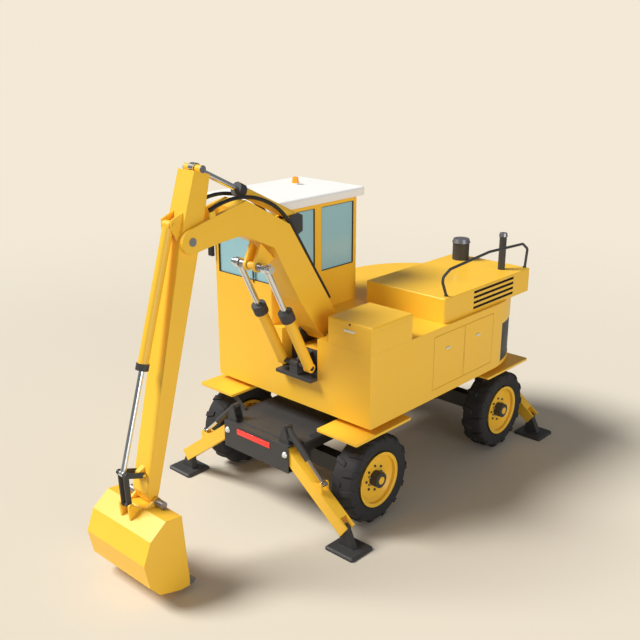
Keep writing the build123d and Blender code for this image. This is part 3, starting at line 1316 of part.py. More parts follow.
with BuildPart() as hoses:
    for y in (BOOM_Y + HOSE_SIDE, BOOM_Y - HOSE_SIDE):
        with BuildLine(upright(y)) as hose_path:
            FilletPolyline(*HOSE, radius=bends(HOSE))
        with BuildSketch(Plane(origin=hose_path.wires()[0] @ 0, z_dir=hose_path.wires()[0] % 0)):
            Circle(HOSE_R)
        sweep(path=hose_path.wires()[0])
        hose_long = hose_path.wires()[0].length

print("hose length", hose_long, "radii", bends(HOSE), "swept share", hoses.part.volume / (2 * pi * HOSE_R**2 * hose_long))
save(hoses.part, "hoses")

print("leg eye", leg_eye, "foot pin", foot_pin)
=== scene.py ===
"""Looks of the wheeled excavator: its finishes, and the tyres, seals and fittings that dress it."""

import logging
import math
from dataclasses import dataclass, field
from enum import Enum

import bpy
import numpy as np
from mathutils import Matrix, Vector


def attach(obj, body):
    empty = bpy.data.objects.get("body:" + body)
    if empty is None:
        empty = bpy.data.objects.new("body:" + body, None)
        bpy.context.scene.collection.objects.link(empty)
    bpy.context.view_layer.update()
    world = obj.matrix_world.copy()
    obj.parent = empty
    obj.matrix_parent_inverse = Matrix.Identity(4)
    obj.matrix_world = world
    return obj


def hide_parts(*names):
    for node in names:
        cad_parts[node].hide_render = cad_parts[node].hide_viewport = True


log = logging.getLogger("excavator")

SLEW_X = -0.960  # the slew axis stands this far behind the frame's origin
DRIFT_A_METRE = 3.0  # how often a finish's colour and gloss drift
GLOSS_BAND = (0.3, 0.7)  # the part of the drift that gloss follows
GLOSS_FALL, GLOSS_RISE = 0.05, 0.06  # how far roughness drifts down and up
GRAIN_STRENGTH = 0.5
COAT_ROUGHNESS = 0.12
ROUND_STEPS = 5  # points on each quarter turn of a rounded block's edges
PLAN_POWER = 0.3  # squareness of a cushion's plan: 1 is an ellipse, 0 a rectangle
SIDE_POWER, CROWN_POWER = 0.45, 0.75  # how square its sides and how flat its crown are
SIDE_PULL = 0.03  # how far its sides pull in between the corners, as a share
SEAM_DEEP, SEAM_WIDE = 0.012, 0.05  # depth of its seam as a share, and width as an angle
LENS_RIBS_A_METRE = 40.0
LENS_RIB_DEPTH = 0.002
LENS_RIB_STRENGTH = 0.3


class Corner(Enum):
    """The machine's four corners, as (ahead, left) signs."""

    FRONT_LEFT = (1, 1)
    FRONT_RIGHT = (1, -1)
    REAR_LEFT = (-1, 1)
    REAR_RIGHT = (-1, -1)

    @property
    def word(self) -> str:
        """The corner's name, as the CAD nodes spell it."""
        return self.name.lower()

    @property
    def ahead(self) -> int:
        """1 at the front, -1 at the rear."""
        return self.value[0]

    @property
    def left(self) -> int:
        """1 on the left side, -1 on the right."""
        return self.value[1]


class Tone(Enum):
    """Colours of the machine and its ground, as sRGB hex."""

    MACHINE_YELLOW = "#FFC738"
    ROOF_WHITE = "#FAF9F6"
    CHASSIS_GREY = "#3B3B3C"
    TYRE_BLACK = "#2A2A2C"
    RUBBER_BLACK = "#1C1C1E"
    CHROME = "#E4E8EA"
    PIN_STEEL = "#9A9AA2"
    GLASS_BLUE = "#A8D8E4"
    REFLECTOR_RED = "#E8362F"
    BEACON_AMBER = "#FFA216"
    CAST_GREY = "#56585A"
    SEAT_BLACK = "#26272A"
    GROUND_CREAM = "#F3E9D6"
    FLOOR_STONE = "#D8D0C1"


def linear(tone: Tone) -> tuple[float, float, float, float]:
    """Turns an sRGB hex colour to linear light.

    Args:
        tone: The colour, as a named hex value.

    Returns:
        Linear red, green, blue and an alpha of 1.
    """
    srgb = [int(tone.value[i : i + 2], 16) / 255 for i in (1, 3, 5)]
    light = [c / 12.92 if c <= 0.04045 else ((c + 0.055) / 1.055) ** 2.4 for c in srgb]
    return (light[0], light[1], light[2], 1.0)


def at(x: float, y: float, z: float) -> np.ndarray:
    """A point in millimetres from the slew axis at ground level, as metres in the shared frame."""
    return np.array([x / 1000 + SLEW_X, y / 1000, z / 1000])


def node(
    tree: bpy.types.NodeTree, kind: str, settings: dict | None = None, **links: object
) -> bpy.types.Node:
    """Adds one shader node with its settings and links.

    Args:
        tree: The node tree that takes it.
        kind: The node's type.
        settings: Attributes of the node to set, before any link is made.
        links: Input names, with _ for a space, or i and a number, each with a socket or a value.

    Returns:
        The new node.
    """
    new = tree.nodes.new(kind)
    for key, value in (settings or {}).items():
        setattr(new, key, value)
    for key, value in links.items():
        spot = int(key[1:]) if key[0] == "i" and key[1:].isdigit() else key.replace("_", " ")
        if isinstance(value, bpy.types.NodeSocket):
            tree.links.new(value, new.inputs[spot])
        else:
            new.inputs[spot].default_value = value
    return new


# ---------------------------------------------------------------- finishes


@dataclass(frozen=True)
class Zone:
    """A length of round bar in space: what lies inside it on a piece takes another finish.

    centre is a point on the bar's axis, axis its unit direction, reach its radius, and lo and hi its
    ends along the axis.
    """

    centre: tuple[float, float, float]
    axis: tuple[float, float, float]
    reach: float
    lo: float
    hi: float

    def mask(self, tree: bpy.types.NodeTree) -> bpy.types.NodeSocket:
        """Builds the zone's mask, from the distance to the axis and the place along it.

        Args:
            tree: The material's node tree.

        Returns:
            A socket that is 1 inside the zone and 0 outside.
        """
        vector, maths = "ShaderNodeVectorMath", "ShaderNodeMath"
        here = node(tree, "ShaderNodeTexCoord").outputs["Object"]
        rel = node(tree, vector, {"operation": "SUBTRACT"}, i0=here, i1=self.centre).outputs[0]
        along = node(tree, vector, {"operation": "DOT_PRODUCT"}, i0=rel, i1=self.axis).outputs["Value"]
        off = node(tree, vector, {"operation": "CROSS_PRODUCT"}, i0=rel, i1=self.axis).outputs[0]
        away = node(tree, vector, {"operation": "LENGTH"}, i0=off).outputs["Value"]
        near = node(tree, maths, {"operation": "LESS_THAN"}, i0=away, i1=self.reach).outputs[0]
        after = node(tree, maths, {"operation": "GREATER_THAN"}, i0=along, i1=self.lo).outputs[0]
        before = node(tree, maths, {"operation": "LESS_THAN"}, i0=along, i1=self.hi).outputs[0]
        both = node(tree, maths, {"operation": "MULTIPLY"}, i0=after, i1=before).outputs[0]
        return node(tree, maths, {"operation": "MULTIPLY"}, i0=near, i1=both).outputs[0]


@dataclass(frozen=True)
class Finish:
    """A surface and how it was made. Each kind of finish sets its own sockets and grain."""

    tone: Tone
    roughness: float = 0.4
    metallic: float = 0.0
    grain_mm: float = 3.0
    relief_mm: float = 0.05
    drift: float = 0.05
    edge_mm: float = 6.0
    coat: float = 0.0

    def shader(self, tree: bpy.types.NodeTree) -> bpy.types.NodeSocket:
        """Builds the finish: colour and gloss that drift over hand widths, a fine grain and eased edges.

        Args:
            tree: The material's node tree.

        Returns:
            The shader socket.
        """
        here = node(tree, "ShaderNodeTexCoord").outputs["Object"]
        broad = node(
            tree, "ShaderNodeTexNoise", Vector=here, Scale=DRIFT_A_METRE, Detail=4.0, Roughness=0.55
        )
        base = linear(self.tone)
        low = tuple(c * (1 - self.drift) for c in base[:3]) + (1.0,)
        high = tuple(min(1.0, c * (1 + self.drift)) for c in base[:3]) + (1.0,)
        drifting = {"data_type": "RGBA"}
        colour = node(tree, "ShaderNodeMix", drifting, i0=broad.outputs[0], i6=low, i7=high)
        gloss = node(
            tree, "ShaderNodeMapRange", i0=broad.outputs[0], i1=GLOSS_BAND[0], i2=GLOSS_BAND[1],
            i3=self.roughness - GLOSS_FALL, i4=self.roughness + GLOSS_RISE,
        )
        fine = node(tree, "ShaderNodeTexNoise", Vector=here, Scale=1000 / self.grain_mm, Detail=2.0)
        eased = node(tree, "ShaderNodeBevel", {"samples": 4}, Radius=self.edge_mm / 1000)
        bump = node(
            tree, "ShaderNodeBump", Strength=GRAIN_STRENGTH, Distance=self.relief_mm / 1000,
            Height=fine.outputs[0], Normal=eased.outputs[0],
        )
        surface = node(
            tree, "ShaderNodeBsdfPrincipled", Base_Color=colour.outputs[2],
            Roughness=gloss.outputs[0], Metallic=self.metallic, Normal=bump.outputs[0],
        )
        surface.inputs["Coat Weight"].default_value = self.coat
        surface.inputs["Coat Roughness"].default_value = COAT_ROUGHNESS
        return surface.outputs[0]


@dataclass(frozen=True)
class GlassTintAndPaintedReflection(Finish):
    """Toughened tinted glass, a little see-through, with a hard clear reflection; its face's pale blue is
    partly the tint and partly painted reflection.
    """

    clearness: float = 0.12

    def shader(self, tree: bpy.types.NodeTree) -> bpy.types.NodeSocket:
        """Builds the glass: a glossy pale blue face, its colour partly tint and partly painted
        reflection, mixed with a tinted clear one.

        Args:
            tree: The material's node tree.

        Returns:
            The shader socket.
        """
        tint_and_reflection = linear(self.tone)
        # the face's pale blue is partly the glass's tint and partly painted reflection
        face = node(tree, "ShaderNodeBsdfPrincipled", Base_Color=tint_and_reflection, Roughness=self.roughness)
        clear = node(tree, "ShaderNodeBsdfTransparent", Color=tint_and_reflection)
        both = {"i1": face.outputs[0], "i2": clear.outputs[0]}
        return node(tree, "ShaderNodeMixShader", Fac=self.clearness, **both).outputs[0]


@dataclass(frozen=True)
class GlowingPlastic(Finish):
    """Moulded coloured lens, with a painted glow: light of its own that stands in for the light it throws
    back.
    """

    glow: float = 0.25

    def shader(self, tree: bpy.types.NodeTree) -> bpy.types.NodeSocket:
        """Builds the lens: fine prism ribs under a clear face, with a little light of its own.

        Args:
            tree: The material's node tree.

        Returns:
            The shader socket.
        """
        here = node(tree, "ShaderNodeTexCoord").outputs["Object"]
        across = {"bands_direction": "Y"}
        ribs = node(tree, "ShaderNodeTexWave", across, Vector=here, Scale=LENS_RIBS_A_METRE)
        bump = node(
            tree, "ShaderNodeBump", Strength=LENS_RIB_STRENGTH, Distance=LENS_RIB_DEPTH,
            Height=ribs.outputs[0],
        )
        face = node(
            tree, "ShaderNodeBsdfPrincipled", Base_Color=linear(self.tone), Roughness=self.roughness,
            Normal=bump.outputs[0],
        )
        # painted glow: the lens gives off light of its own in place of the light it throws back
        face.inputs["Emission Color"].default_value = linear(self.tone)
        face.inputs["Emission Strength"].default_value = self.glow
        return face.outputs[0]


# Two-pack machine enamel, sprayed: an even colour, an orange peel a few millimetres wide, a soft gloss.
ENAMEL = Finish(Tone.MACHINE_YELLOW, roughness=0.42, grain_mm=4.0, relief_mm=0.06, drift=0.03, coat=0.15)
# White enamel on the roof, a little chalky from the weather.
ROOF_ENAMEL = Finish(Tone.ROOF_WHITE, roughness=0.5, grain_mm=4.0, drift=0.02, edge_mm=8.0)
# Chassis paint over rolled plate: satin, with a coarser grain.
CHASSIS_PAINT = Finish(Tone.CHASSIS_GREY, roughness=0.55, grain_mm=6.0, relief_mm=0.12, drift=0.12)
# Vulcanised tyre rubber: dull, with moulding grain.
TYRE_RUBBER = Finish(
    Tone.TYRE_BLACK, roughness=0.78, grain_mm=5.0, relief_mm=0.25, drift=0.15, edge_mm=5.0
)
# Extruded rubber of hoses and window seals.
HOSE_RUBBER = Finish(Tone.RUBBER_BLACK, roughness=0.5, grain_mm=2.0, drift=0.1, edge_mm=1.0)
# Hard chrome on ground steel rods: a clear mirror, faintly drawn lengthwise.
HARD_CHROME = Finish(
    Tone.CHROME, roughness=0.2, metallic=1.0, grain_mm=1.5, relief_mm=0.01, drift=0.02, edge_mm=1.0
)
# Turned steel of pins and their collars.
TURNED_STEEL = Finish(
    Tone.PIN_STEEL, roughness=0.38, metallic=0.85, grain_mm=2.0, relief_mm=0.04, drift=0.08, edge_mm=3.0
)
# Sand-cast iron of the engine.
CAST_IRON = Finish(Tone.CAST_GREY, roughness=0.7, metallic=0.3, grain_mm=3.0, relief_mm=0.3, drift=0.15)
# Bright zinc-plated steel of handles and caps.
BRIGHT_STEEL = Finish(
    Tone.CHROME, roughness=0.4, metallic=0.55, grain_mm=2.0, relief_mm=0.03, drift=0.04, edge_mm=2.0
)
# Moulded vinyl on seat and console.
SEAT_VINYL = Finish(Tone.SEAT_BLACK, roughness=0.6, grain_mm=2.5, relief_mm=0.15, drift=0.08)
# Tinted toughened glass of the cab's windows; its pale blue is partly tint and partly painted reflection.
CAB_GLASS = GlassTintAndPaintedReflection(Tone.GLASS_BLUE, roughness=0.06)
# Moulded acrylic of the reflector and of the roof's warning lamp, each with a painted glow.
REFLECTOR_LENS = GlowingPlastic(Tone.REFLECTOR_RED, roughness=0.2)
BEACON_LENS = GlowingPlastic(Tone.BEACON_AMBER, roughness=0.2, glow=0.15)


def material(name: str, base: Finish, zones: tuple[tuple[Zone, Finish], ...] = ()) -> bpy.types.Material:
    """Makes a material of one finish, with other finishes inside its zones.

    Args:
        name: The material's name.
        base: The finish of the whole piece.
        zones: Pairs of a zone and the finish that shows inside it.

    Returns:
        The material.
    """
    made = bpy.data.materials.new(name)
    made.use_nodes = True
    tree = made.node_tree
    tree.nodes.clear()
    surface = base.shader(tree)
    for finish in dict.fromkeys(finish for _, finish in zones):
        masks = [zone.mask(tree) for zone, other in zones if other is finish]
        mask = masks[0]
        for more in masks[1:]:
            mask = node(tree, "ShaderNodeMath", {"operation": "MAXIMUM"}, i0=mask, i1=more).outputs[0]
        over = finish.shader(tree)
        surface = node(tree, "ShaderNodeMixShader", Fac=mask, i1=surface, i2=over).outputs[0]
    node(tree, "ShaderNodeOutputMaterial", Surface=surface)
    return made


# ---------------------------------------------------------------- surfaces


def quads(rows: int, columns: int, around: bool) -> np.ndarray:
    """Faces of a grid of points, wound so that rows x columns faces outward.

    Args:
        rows: How many rows of points.
        columns: How many points in a row.
        around: Whether each row closes on itself.

    Returns:
        An (n, 4) array of point numbers.
    """
    r = np.arange(rows - 1)[:, None] * columns
    c = np.arange(columns if around else columns - 1)[None, :]
    n = (c + 1) % columns
    return np.stack([r + c, r + n, r + columns + n, r + columns + c], axis=-1).reshape(-1, 4)


def put(name: str, points: np.ndarray, faces: list, smooth: bool = True) -> bpy.types.Object:
    """Puts points and faces into a mesh object at the origin.

    Args:
        name: The piece's name.
        points: An (n, 3) array, in metres in the shared frame.
        faces: Lists of point numbers.
        smooth: Whether its faces are shaded smooth.

    Returns:
        The object, linked to the scene.
    """
    mesh = bpy.data.meshes.new(name)
    mesh.from_pydata(points.reshape(-1, 3).tolist(), [], faces)
    mesh.polygons.foreach_set("use_smooth", np.full(len(mesh.polygons), smooth))
    mesh.update()
    made = bpy.data.objects.new(name, mesh)
    bpy.context.scene.collection.objects.link(made)
    return made


def copies(points: np.ndarray, faces: list, shape: tuple[int, int]) -> tuple[np.ndarray, list]:
    """Numbers the faces of many copies of one grid, with both ends of each copy capped.

    Args:
        points: An (n, rows, columns, 3) array, one grid to a copy.
        faces: The quads of one grid.
        shape: Rows and columns of a grid.

    Returns:
        All points in one list, and all faces.
    """
    rows, columns = shape
    each = rows * columns
    first, last = list(range(columns))[::-1], list(range(each - columns, each))
    starts = np.arange(len(points)) * each
    sides = (np.array(faces)[None] + starts[:, None, None]).reshape(-1, 4).tolist()
    caps = [[start + i for i in cap] for start in starts.tolist() for cap in (first, last)]
    return points.reshape(-1, 3), sides + caps


def turned(
    centres: np.ndarray, axis: np.ndarray, profile: np.ndarray, sides: int
) -> tuple[np.ndarray, list]:
    """Turned pieces: the profile's radius at each place along the axis, carried once round it.

    One is made at every centre.

    Args:
        centres: An (n, 3) array.
        axis: The unit direction of the axis.
        profile: (along, radius) pairs, first to last along the axis.
        sides: Points in a turn.

    Returns:
        Points and faces of all the pieces.
    """
    axis = axis / np.linalg.norm(axis)
    helper = np.array([0.0, 0.0, 1.0]) if abs(axis[2]) < 0.9 else np.array([1.0, 0.0, 0.0])
    across = np.cross(helper, axis)
    across /= np.linalg.norm(across)
    up = np.cross(axis, across)
    angle = np.linspace(0, 2 * np.pi, sides, endpoint=False)
    ring = np.cos(angle)[:, None] * across + np.sin(angle)[:, None] * up
    grid = profile[:, 0, None, None] * axis + profile[:, 1, None, None] * ring[None]
    points = np.asarray(centres).reshape(-1, 1, 1, 3) + grid[None]
    return copies(points, quads(len(profile), sides, True), (len(profile), sides))


def bar_along(path: np.ndarray, side: np.ndarray, section: np.ndarray) -> tuple[np.ndarray, list]:
    """A bar: a closed section carried along a path in one plane, square to the path at each point.

    Args:
        path: An (n, 3) array of points.
        side: The unit normal of the path's plane.
        section: (to that side, across it) pairs, counterclockwise seen from the path's end.

    Returns:
        Points and faces, with both ends capped.
    """
    tangent = np.gradient(path, axis=0)
    tangent /= np.linalg.norm(tangent, axis=1)[:, None]
    across = np.cross(tangent, side)
    points = path[:, None] + section[None, :, :1] * side + section[None, :, 1:] * across[:, None]
    return copies(points[None], quads(len(path), len(section), True), (len(path), len(section)))


def round_section(radius: float, sides: int) -> np.ndarray:
    """The points of a circle, as a section for a bar."""
    angle = np.linspace(0, 2 * np.pi, sides, endpoint=False)
    return radius * np.stack([np.cos(angle), np.sin(angle)], axis=-1)


def pillow(name: str, lo: np.ndarray, hi: np.ndarray, corner: float) -> bpy.types.Object:
    """A block with rounded edges: a sphere's octants, each moved out to a corner of the block.

    Args:
        name: The piece's name.
        lo: Lowest corner.
        hi: Highest corner.
        corner: The radius of its edges.

    Returns:
        The object.
    """
    steps = np.linspace(0, np.pi / 2, ROUND_STEPS)
    rows, columns = 2 * ROUND_STEPS, 4 * ROUND_STEPS
    turn = np.concatenate([steps + q * np.pi / 2 for q in range(4)])
    rise = np.concatenate([steps - np.pi / 2, steps])
    turn_sign = np.repeat(np.array([[1, 1], [-1, 1], [-1, -1], [1, -1]]), ROUND_STEPS, axis=0)
    rise_sign = np.repeat([-1, 1], ROUND_STEPS)
    flat = (hi - lo) / 2 - corner
    ball = np.stack(
        [
            np.cos(rise)[:, None] * np.cos(turn),
            np.cos(rise)[:, None] * np.sin(turn),
            np.sin(rise)[:, None] * np.ones(columns),
        ],
        axis=-1,
    )
    octant = np.stack(
        [
            np.ones(rows)[:, None] * turn_sign[:, 0],
            np.ones(rows)[:, None] * turn_sign[:, 1],
            rise_sign[:, None] * np.ones(columns),
        ],
        axis=-1,
    )
    points = (lo + hi) / 2 + corner * ball + octant * flat
    whole, faces = copies(points[None], quads(rows, columns, True), (rows, columns))
    return put(name, whole, faces)


def dress(piece: bpy.types.Object, finish: bpy.types.Material, body: str) -> None:
    """Gives a new piece its material and record slot, lets it ride on a body, and reports it."""
    piece.data.materials.append(finish)
    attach(piece, body)
    log.info("%s rides on %s, %d faces", piece.name, body, len(piece.data.polygons))


# ---------------------------------------------------------------- sub-assemblies


@dataclass
class Studio:
    """Pale floor, soft light from the machine's front right, and the camera."""

    camera_at: tuple[float, float, float] = (7.283, 6.745, 5.397)
    azimuth: float = 0.747
    elevation: float = -0.322
    focal_mm: float = 49.116375
    sensor_mm: float = 36.0
    floor_half: float = 30.0
    # the floor starts to give way this far from the machine, and is gone at the second distance
    fade: tuple[float, float] = (5.0, 17.0)
    # (name, the way its light travels, strength, width in the sky in degrees, linear colour) of each lamp
    suns: tuple = (
        ("key", (-0.50, 0.54, -0.85), 4.0, 25.0, (1.0, 0.985, 0.95)),
        ("side", (-0.25, -0.95, -0.10), 1.25, 40.0, (1.0, 0.99, 0.97)),
    )
    fill_colour: tuple = (0.97, 0.98, 1.0, 1.0)
    fill_strength: float = 0.2

    def build(self) -> None:
        """Makes the camera, floor, lamps and world."""
        self.camera()
        self.floor()
        self.lamps()
        bpy.context.scene.view_settings.view_transform = "Standard"

    def camera(self) -> None:
        """Points the camera by its azimuth and elevation, and gives it its lens."""
        ahead = Vector(
            (
                -math.cos(self.elevation) * math.cos(self.azimuth),
                -math.cos(self.elevation) * math.sin(self.azimuth),
                math.sin(self.elevation),
            )
        )
        data = bpy.data.cameras.new("camera")
        data.sensor_width = self.sensor_mm
        data.lens = self.focal_mm
        view = bpy.data.objects.new("camera", data)
        turn = ahead.to_track_quat("-Z", "Y").to_matrix().to_4x4()
        view.matrix_world = Matrix.Translation(self.camera_at) @ turn
        bpy.context.scene.collection.objects.link(view)
        bpy.context.scene.camera = view

    def floor(self) -> None:
        """A flat floor that shows the shadow, and gives way to the world's colour with distance."""
        h = self.floor_half
        corners = np.array([[-h, -h, 0], [h, -h, 0], [h, h, 0], [-h, h, 0]], dtype=float)
        ground = put("floor", corners, [[0, 1, 2, 3]], smooth=False)
        made = bpy.data.materials.new("matt_floor")
        made.use_nodes = True
        tree = made.node_tree
        tree.nodes.clear()
        here = node(tree, "ShaderNodeTexCoord").outputs["Object"]
        away = node(tree, "ShaderNodeVectorMath", {"operation": "LENGTH"}, i0=here).outputs["Value"]
        eased = {"interpolation_type": "SMOOTHSTEP"}
        fade = node(tree, "ShaderNodeMapRange", eased, i0=away, i1=self.fade[0], i2=self.fade[1])
        face = node(tree, "ShaderNodeBsdfDiffuse", Color=linear(Tone.FLOOR_STONE))
        gone = node(tree, "ShaderNodeBsdfTransparent")
        both = {"i1": face.outputs[0], "i2": gone.outputs[0]}
        mixed = node(tree, "ShaderNodeMixShader", Fac=fade.outputs[0], **both)
        node(tree, "ShaderNodeOutputMaterial", Surface=mixed.outputs[0])
        ground.data.materials.append(made)

    def lamps(self) -> None:
        """A soft key lamp on the front right, a weak low one on the left, and a world seen as cream."""
        for lamp in self.suns:
            self.sun(*lamp)
        world = bpy.data.worlds.new("studio")
        bpy.context.scene.world = world
        world.use_nodes = True
        tree = world.node_tree
        tree.nodes.clear()
        path = node(tree, "ShaderNodeLightPath").outputs["Is Camera Ray"]
        seen = node(tree, "ShaderNodeBackground", Color=linear(Tone.GROUND_CREAM), Strength=1.0)
        fill = node(
            tree, "ShaderNodeBackground", Color=self.fill_colour, Strength=self.fill_strength
        )
        mixed = node(tree, "ShaderNodeMixShader", Fac=path, i1=fill.outputs[0], i2=seen.outputs[0])
        node(tree, "ShaderNodeOutputWorld", Surface=mixed.outputs[0])

    def sun(self, name: str, shine: tuple, energy: float, spread: float, colour: tuple) -> None:
        """Adds a sun lamp.

        Args:
            name: The lamp's name.
            shine: The way its light travels.
            energy: Its strength.
            spread: How wide it is in the sky, in degrees, which softens its shadows.
            colour: Linear red, green and blue.
        """
        data = bpy.data.lights.new(name, "SUN")
        data.energy = energy
        data.angle = math.radians(spread)
        data.color = colour
        lamp = bpy.data.objects.new(name, data)
        lamp.matrix_world = Vector(shine).to_track_quat("-Z", "Y").to_matrix().to_4x4()
        bpy.context.scene.collection.objects.link(lamp)


@dataclass
class Wheels:
    """Four lugged tyres, and the studs of their wheels. Sizes are in millimetres."""

    axle_x: float = 1300.0
    axle_z: float = 536.5
    middle_y: float = 1085.0
    lugs_a_side: int = 14
    lug_radius: float = 520.0
    lug_top: float = 0.82  # the width of a lug's top as a share of its base
    lug_lean: float = 30.4  # degrees round the tyre for each metre across it
    lean_from: float = 100.0
    sides: int = 128
    fineness: int = 4
    edge: float = 4.0
    edge_limit: float = 50.0
    disc_out: float = 78.0
    hub_end: float = 178.0
    nuts_reach: float = 170.0
    past: float = 0.5  # how far past a face its finish begins or ends
    stud_ring: float = 118.0
    stud_angles: tuple = (25.0, -25.0, 155.0, 205.0)
    # (along, radius) of a stud, and the points round it
    stud: tuple = ((0, 10.5), (26, 10.5), (30, 8), (32, 3))
    stud_sides: int = 16
    # (offset from the middle, radius) of the carcass, inboard bead to outboard bead
    carcass: tuple = (
        (-128, 329), (-138, 345), (-152, 385), (-159, 430), (-155, 468), (-140, 492), (-112, 503),
        (-60, 507), (0, 508), (60, 507), (112, 503), (140, 492), (155, 468), (159, 430), (152, 385),
        (138, 345), (128, 329),
    )
    # (offset from the middle, radius, half width, height) along one lug
    lug: tuple = (
        (-4, 500, 22, 6), (2, 500, 30, 24), (40, 500, 33, 27), (90, 499, 34, 30), (122, 493, 35, 30),
        (142, 478, 36, 24), (152, 458, 37, 15), (155, 436, 38, 9), (152, 424, 34, 3),
    )

    def build(self) -> None:
        """Makes the tyres and studs, and dresses the rims."""
        rubber = material("vulcanised_rubber", TYRE_RUBBER)
        stud_steel = material("turned_steel", TURNED_STEEL)
        for corner in Corner:
            centre = at(corner.ahead * self.axle_x, corner.left * self.middle_y, self.axle_z)
            tyre = self.tyre(f"lugged_tyre_{corner.word}", centre, corner.left)
            dress(tyre, rubber, f"wheel_{corner.word}")
            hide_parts(f"tyre_{corner.word}")
            studs = self.studs(corner, centre)
            dress(studs, stud_steel, f"wheel_{corner.word}")
            self.rim(corner, centre)

    def tyre(self, name: str, centre: np.ndarray, out: int) -> bpy.types.Object:
        """A tyre: the carcass turned round the axle, and each lug a bar carried over the shoulder.

        Args:
            name: The piece's name.
            centre: The middle of the wheel.
            out: 1 on the left side, -1 on the right.

        Returns:
            The object.
        """
        profile = np.array(self.carcass, dtype=float) / 1000
        spots = np.arange(len(profile))
        fine = np.linspace(0, len(profile) - 1, self.fineness * len(profile))
        profile = np.stack([np.interp(fine, spots, profile[:, i]) for i in (0, 1)], axis=-1)
        points, faces = turned(centre[None], np.array([0.0, 1.0, 0.0]), profile, self.sides)
        faces = faces[:-2]  # the bead is open, over the rim
        all_points, all_faces = [points], [faces]
        start = len(points)
        for side in (1, -1):
            lug_points, lug_faces = self.lugs(centre, side, out)
            all_points.append(lug_points)
            all_faces.append([[i + start for i in face] for face in lug_faces])
            start += len(lug_points)
        whole = put(name, np.concatenate(all_points), [face for group in all_faces for face in group])
        on_carcass = np.arange(len(whole.data.polygons)) < len(faces)
        whole.data.polygons.foreach_set("use_smooth", on_carcass)
        bevel = whole.modifiers.new("moulded_edges", "BEVEL")
        bevel.width = self.edge / 1000
        bevel.segments = 2
        bevel.limit_method = "ANGLE"
        bevel.angle_limit = math.radians(self.edge_limit)
        return whole

    def lugs(self, centre: np.ndarray, side: int, out: int) -> tuple[np.ndarray, list]:
        """The lugs of one half of the tread.

        Each lug is a bar with a four-sided section. At each place along it, the base is twice the half
        width, the top a little less, and the height stands square to the carcass. It leans round the
        tyre as it nears the middle.

        Args:
            centre: The middle of the wheel.
            side: 1 for the half of the tread towards +Y, else -1.
            out: 1 on the left side of the machine, -1 on the right.

        Returns:
            Points and faces.
        """
        rows = np.array(self.lug, dtype=float)
        offset, radius, half, height = rows.T / 1000
        slope = np.arctan2(np.gradient(radius), np.gradient(offset))
        normal = np.stack([-np.sin(slope), np.cos(slope)], axis=-1)
        across = np.array([-1.0, -self.lug_top, self.lug_top, 1.0])
        lift = np.array([0.0, 1.0, 1.0, 0.0])
        off = offset[:, None] + normal[:, :1] * height[:, None] * lift
        rad = radius[:, None] + normal[:, 1:] * height[:, None] * lift
        lean = math.radians(self.lug_lean) * (offset[:, None] - self.lean_from / 1000)
        arc = across[None, :] * half[:, None] * 1000 / self.lug_radius + out * lean
        spread = 2 * np.pi * np.arange(self.lugs_a_side) / self.lugs_a_side
        stagger = 0.0 if side * out > 0 else np.pi / self.lugs_a_side
        angle = spread[:, None, None] + stagger + arc[None]
        points = centre + np.stack(
            [rad * np.cos(angle), np.broadcast_to(side * off, angle.shape), rad * np.sin(angle)], axis=-1
        )
        if side > 0:
            points = points[:, :, ::-1]
        return copies(points, quads(len(rows), 4, True), (len(rows), 4))

    def studs(self, corner: Corner, centre: np.ndarray) -> bpy.types.Object:
        """Four domed studs on the disc, two on each side of the hub drum.

        Args:
            corner: The wheel's corner.
            centre: The middle of the wheel.

        Returns:
            The object.
        """
        out = np.array([0.0, corner.left, 0.0])
        angle = np.radians(self.stud_angles)
        ring = np.stack([np.cos(angle), np.zeros(len(angle)), np.sin(angle)], axis=-1)
        places = centre + out * self.disc_out / 1000 + ring * self.stud_ring / 1000
        points, faces = turned(places, out, np.array(self.stud) / 1000, self.stud_sides)
        return put(f"hub_bolts_{corner.word}", points, faces)

    def rim(self, corner: Corner, centre: np.ndarray) -> None:
        """Paints a rim yellow, with its hub drum and nuts dark and its cap yellow."""
        out = (0.0, float(corner.left), 0.0)
        span = (self.disc_out + self.past) / 1000, (self.hub_end + self.past) / 1000
        drum = Zone(tuple(centre.tolist()), out, self.nuts_reach / 1000, *span)
        made = material(f"rim_enamel_{corner.word}", ENAMEL, ((drum, CHASSIS_PAINT),))
        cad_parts[f"rim_{corner.word}"].material_slots[0].material = made


